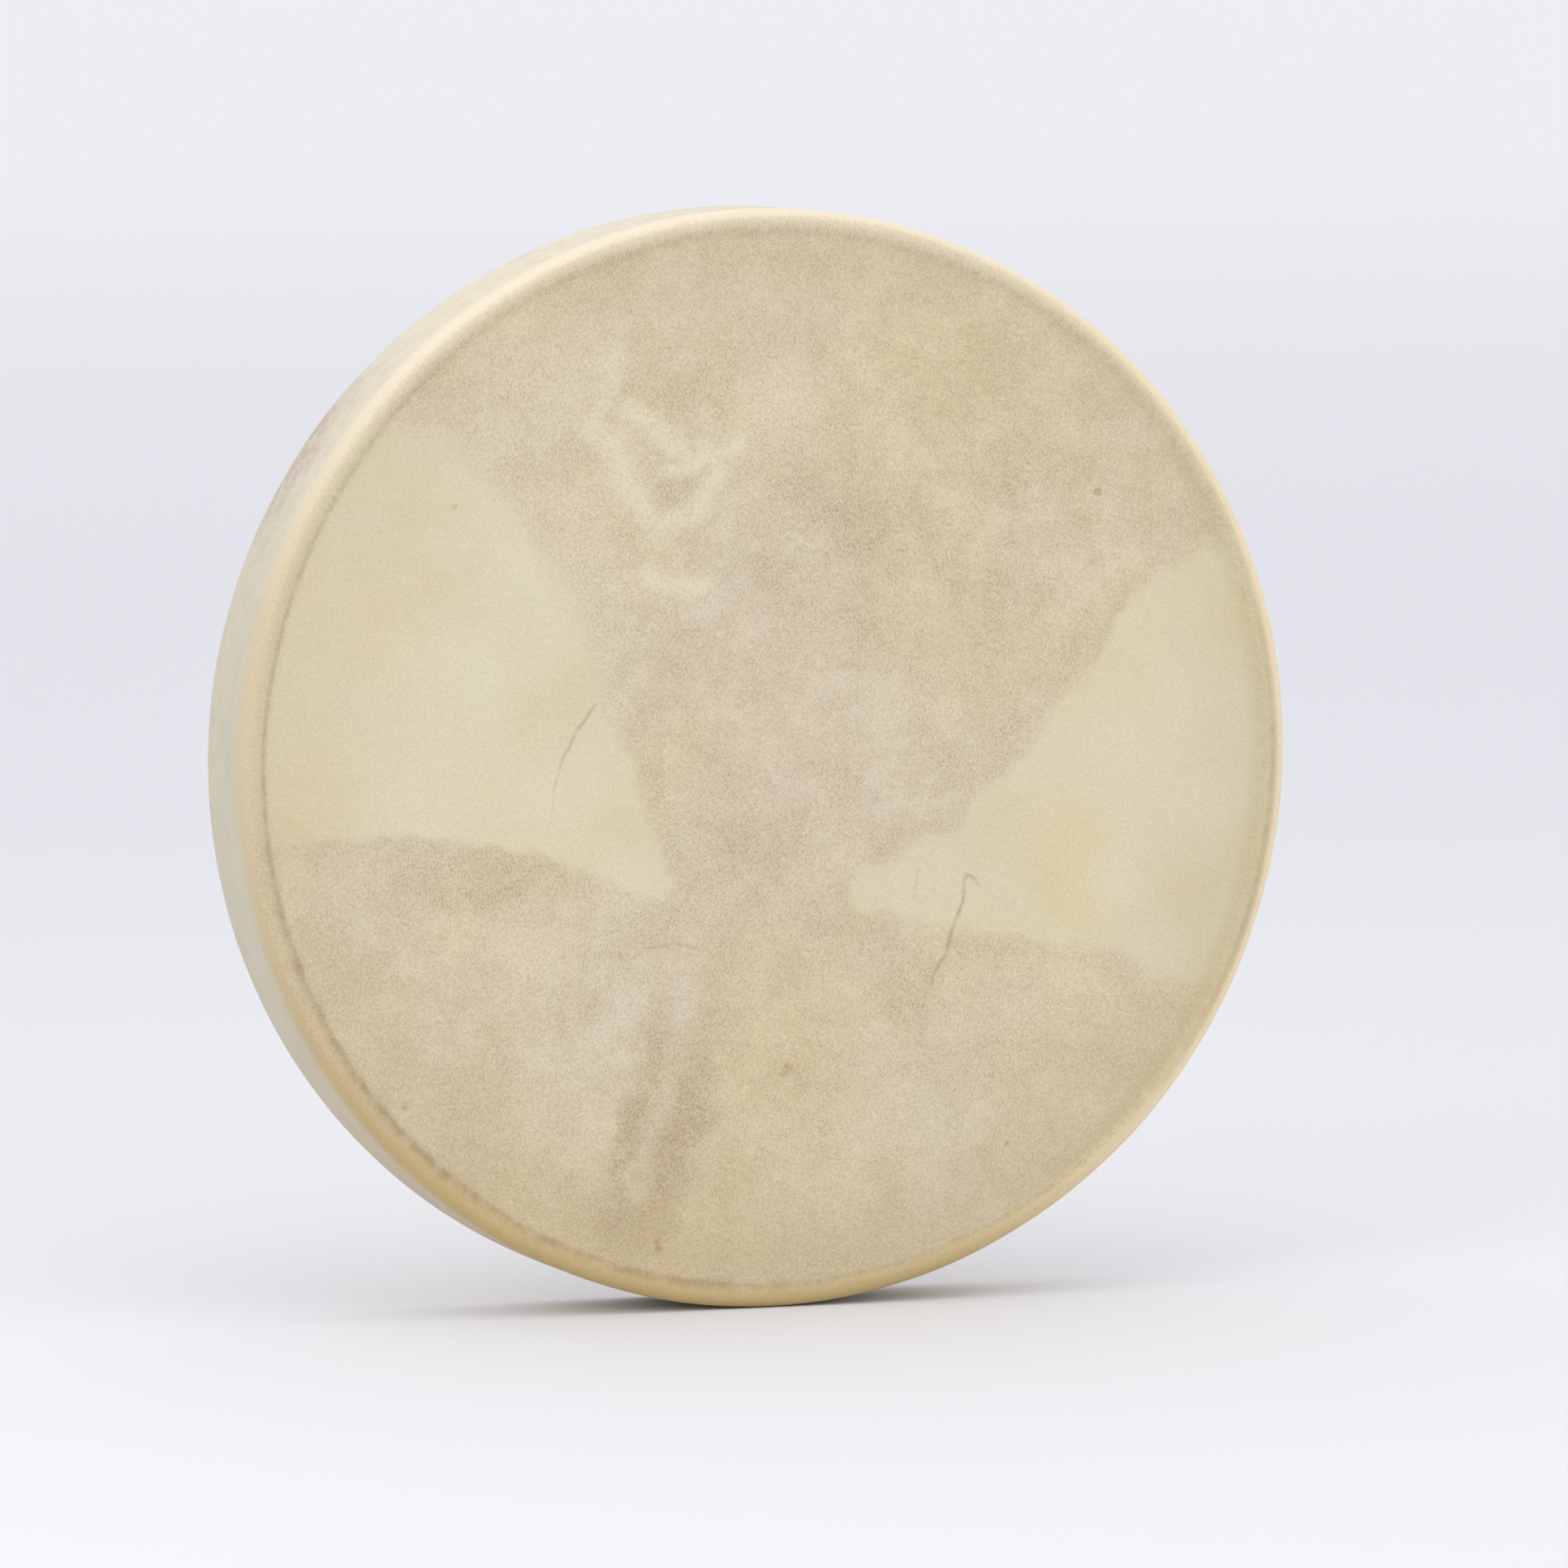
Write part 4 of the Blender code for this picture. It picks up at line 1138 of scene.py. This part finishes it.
for quarter in range(quarters):
    path = lace_path(quarter)
    curve = cord_curve(f"lace_strip_{quarter + 1}", [path], 0.0)
    curve.bevel_mode = "OBJECT"
    curve.bevel_object = section_object
    run = 0.0
    for i, point in enumerate(curve.splines[0].points):
        run += (path[i] - path[i - 1]).length if i else 0.0
        sway = noise.noise(Vector((run * 9.0, quarter * 7.3, 0.0)))
        point.tilt = run / twist_length * math.pi + twist_sway * sway
        point.radius = 1.0 + width_sway * noise.noise(Vector((run * 70.0, quarter * 5.1, 2.0)))
    lace = cord_piece(f"lace_strip_{quarter + 1}", curve, lace_hide.material)
    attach(lace, "root")
    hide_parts(f"lace_{quarter + 1}")
bpy.data.objects.remove(section_object)


# ---- The grip bindings
# A strip of the same brown leather, wound tight in a lapped spiral round each quarter's bundle of laces. The
# four make the cross that the player holds.

strip_width, strip_pitch, strip_thickness = 0.0108, 0.0084, 0.0012
strip_lift = strip_thickness * strip_width / strip_pitch
bundle_half_width, bundle_half_height = 0.0056, 0.0038
squareness = 2.6
bundle_radius = 0.005
section_rows, steps_per_wrap = 7, 56
strip_bulge, strip_unevenness = 0.0002, 0.00018
wraps = (binding_end - binding_start - strip_width) / strip_pitch

for quarter in range(quarters):
    bm = bmesh.new()
    section = []
    for side in (0, 1):
        for i in range(section_rows):
            share = (i if side else section_rows - 1 - i) / (section_rows - 1)
            bulge = math.sin(math.pi * share) ** 0.5 * strip_bulge
            rise = strip_lift * share + (strip_thickness + bulge if side else 0.0)
            section.append(bm.verts.new((bundle_radius + rise, 0.0, strip_width * share)))
    edges = [bm.edges.new(pair) for pair in zip(section, section[1:] + section[:1])]
    steps = round(wraps * steps_per_wrap)
    bmesh.ops.spin(
        bm,
        geom=section + edges,
        cent=(0.0, 0.0, 0.0),
        axis=(0.0, 0.0, 1.0),
        dvec=(0.0, 0.0, strip_pitch / steps_per_wrap),
        angle=2 * math.pi * wraps,
        steps=steps,
        use_merge=False,
    )
    bmesh.ops.holes_fill(bm, edges=[edge for edge in bm.edges if edge.is_boundary], sides=0)
    for vert in bm.verts:
        bearing = math.atan2(vert.co.y, vert.co.x)
        wide = (abs(math.cos(bearing)) / bundle_half_width) ** squareness
        high = (abs(math.sin(bearing)) / bundle_half_height) ** squareness
        spread = (wide + high) ** (-1 / squareness) + math.hypot(vert.co.x, vert.co.y) - bundle_radius
        spread += strip_unevenness * noise.noise(Vector((vert.co.x, vert.co.y, vert.co.z + quarter)) * 150.0)
        vert.co.x, vert.co.y = spread * math.cos(bearing), spread * math.sin(bearing)
    out, across = quarter_axes(quarter)
    rear = Vector((0.0, 1.0, 0.0))
    axes = Matrix((across, rear, across.cross(rear))).transposed().to_4x4()
    outwards = 1 if axes.to_3x3().col[2].dot(out) > 0 else -1
    start = binding_start if outwards > 0 else binding_end
    bm.transform(Matrix.Translation(ring_middle + out * start) @ axes)
    binding = finished(f"grip_wrap_{quarter + 1}", bm, leather.material)
    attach(binding, "root")
    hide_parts(f"grip_binding_{quarter + 1}")
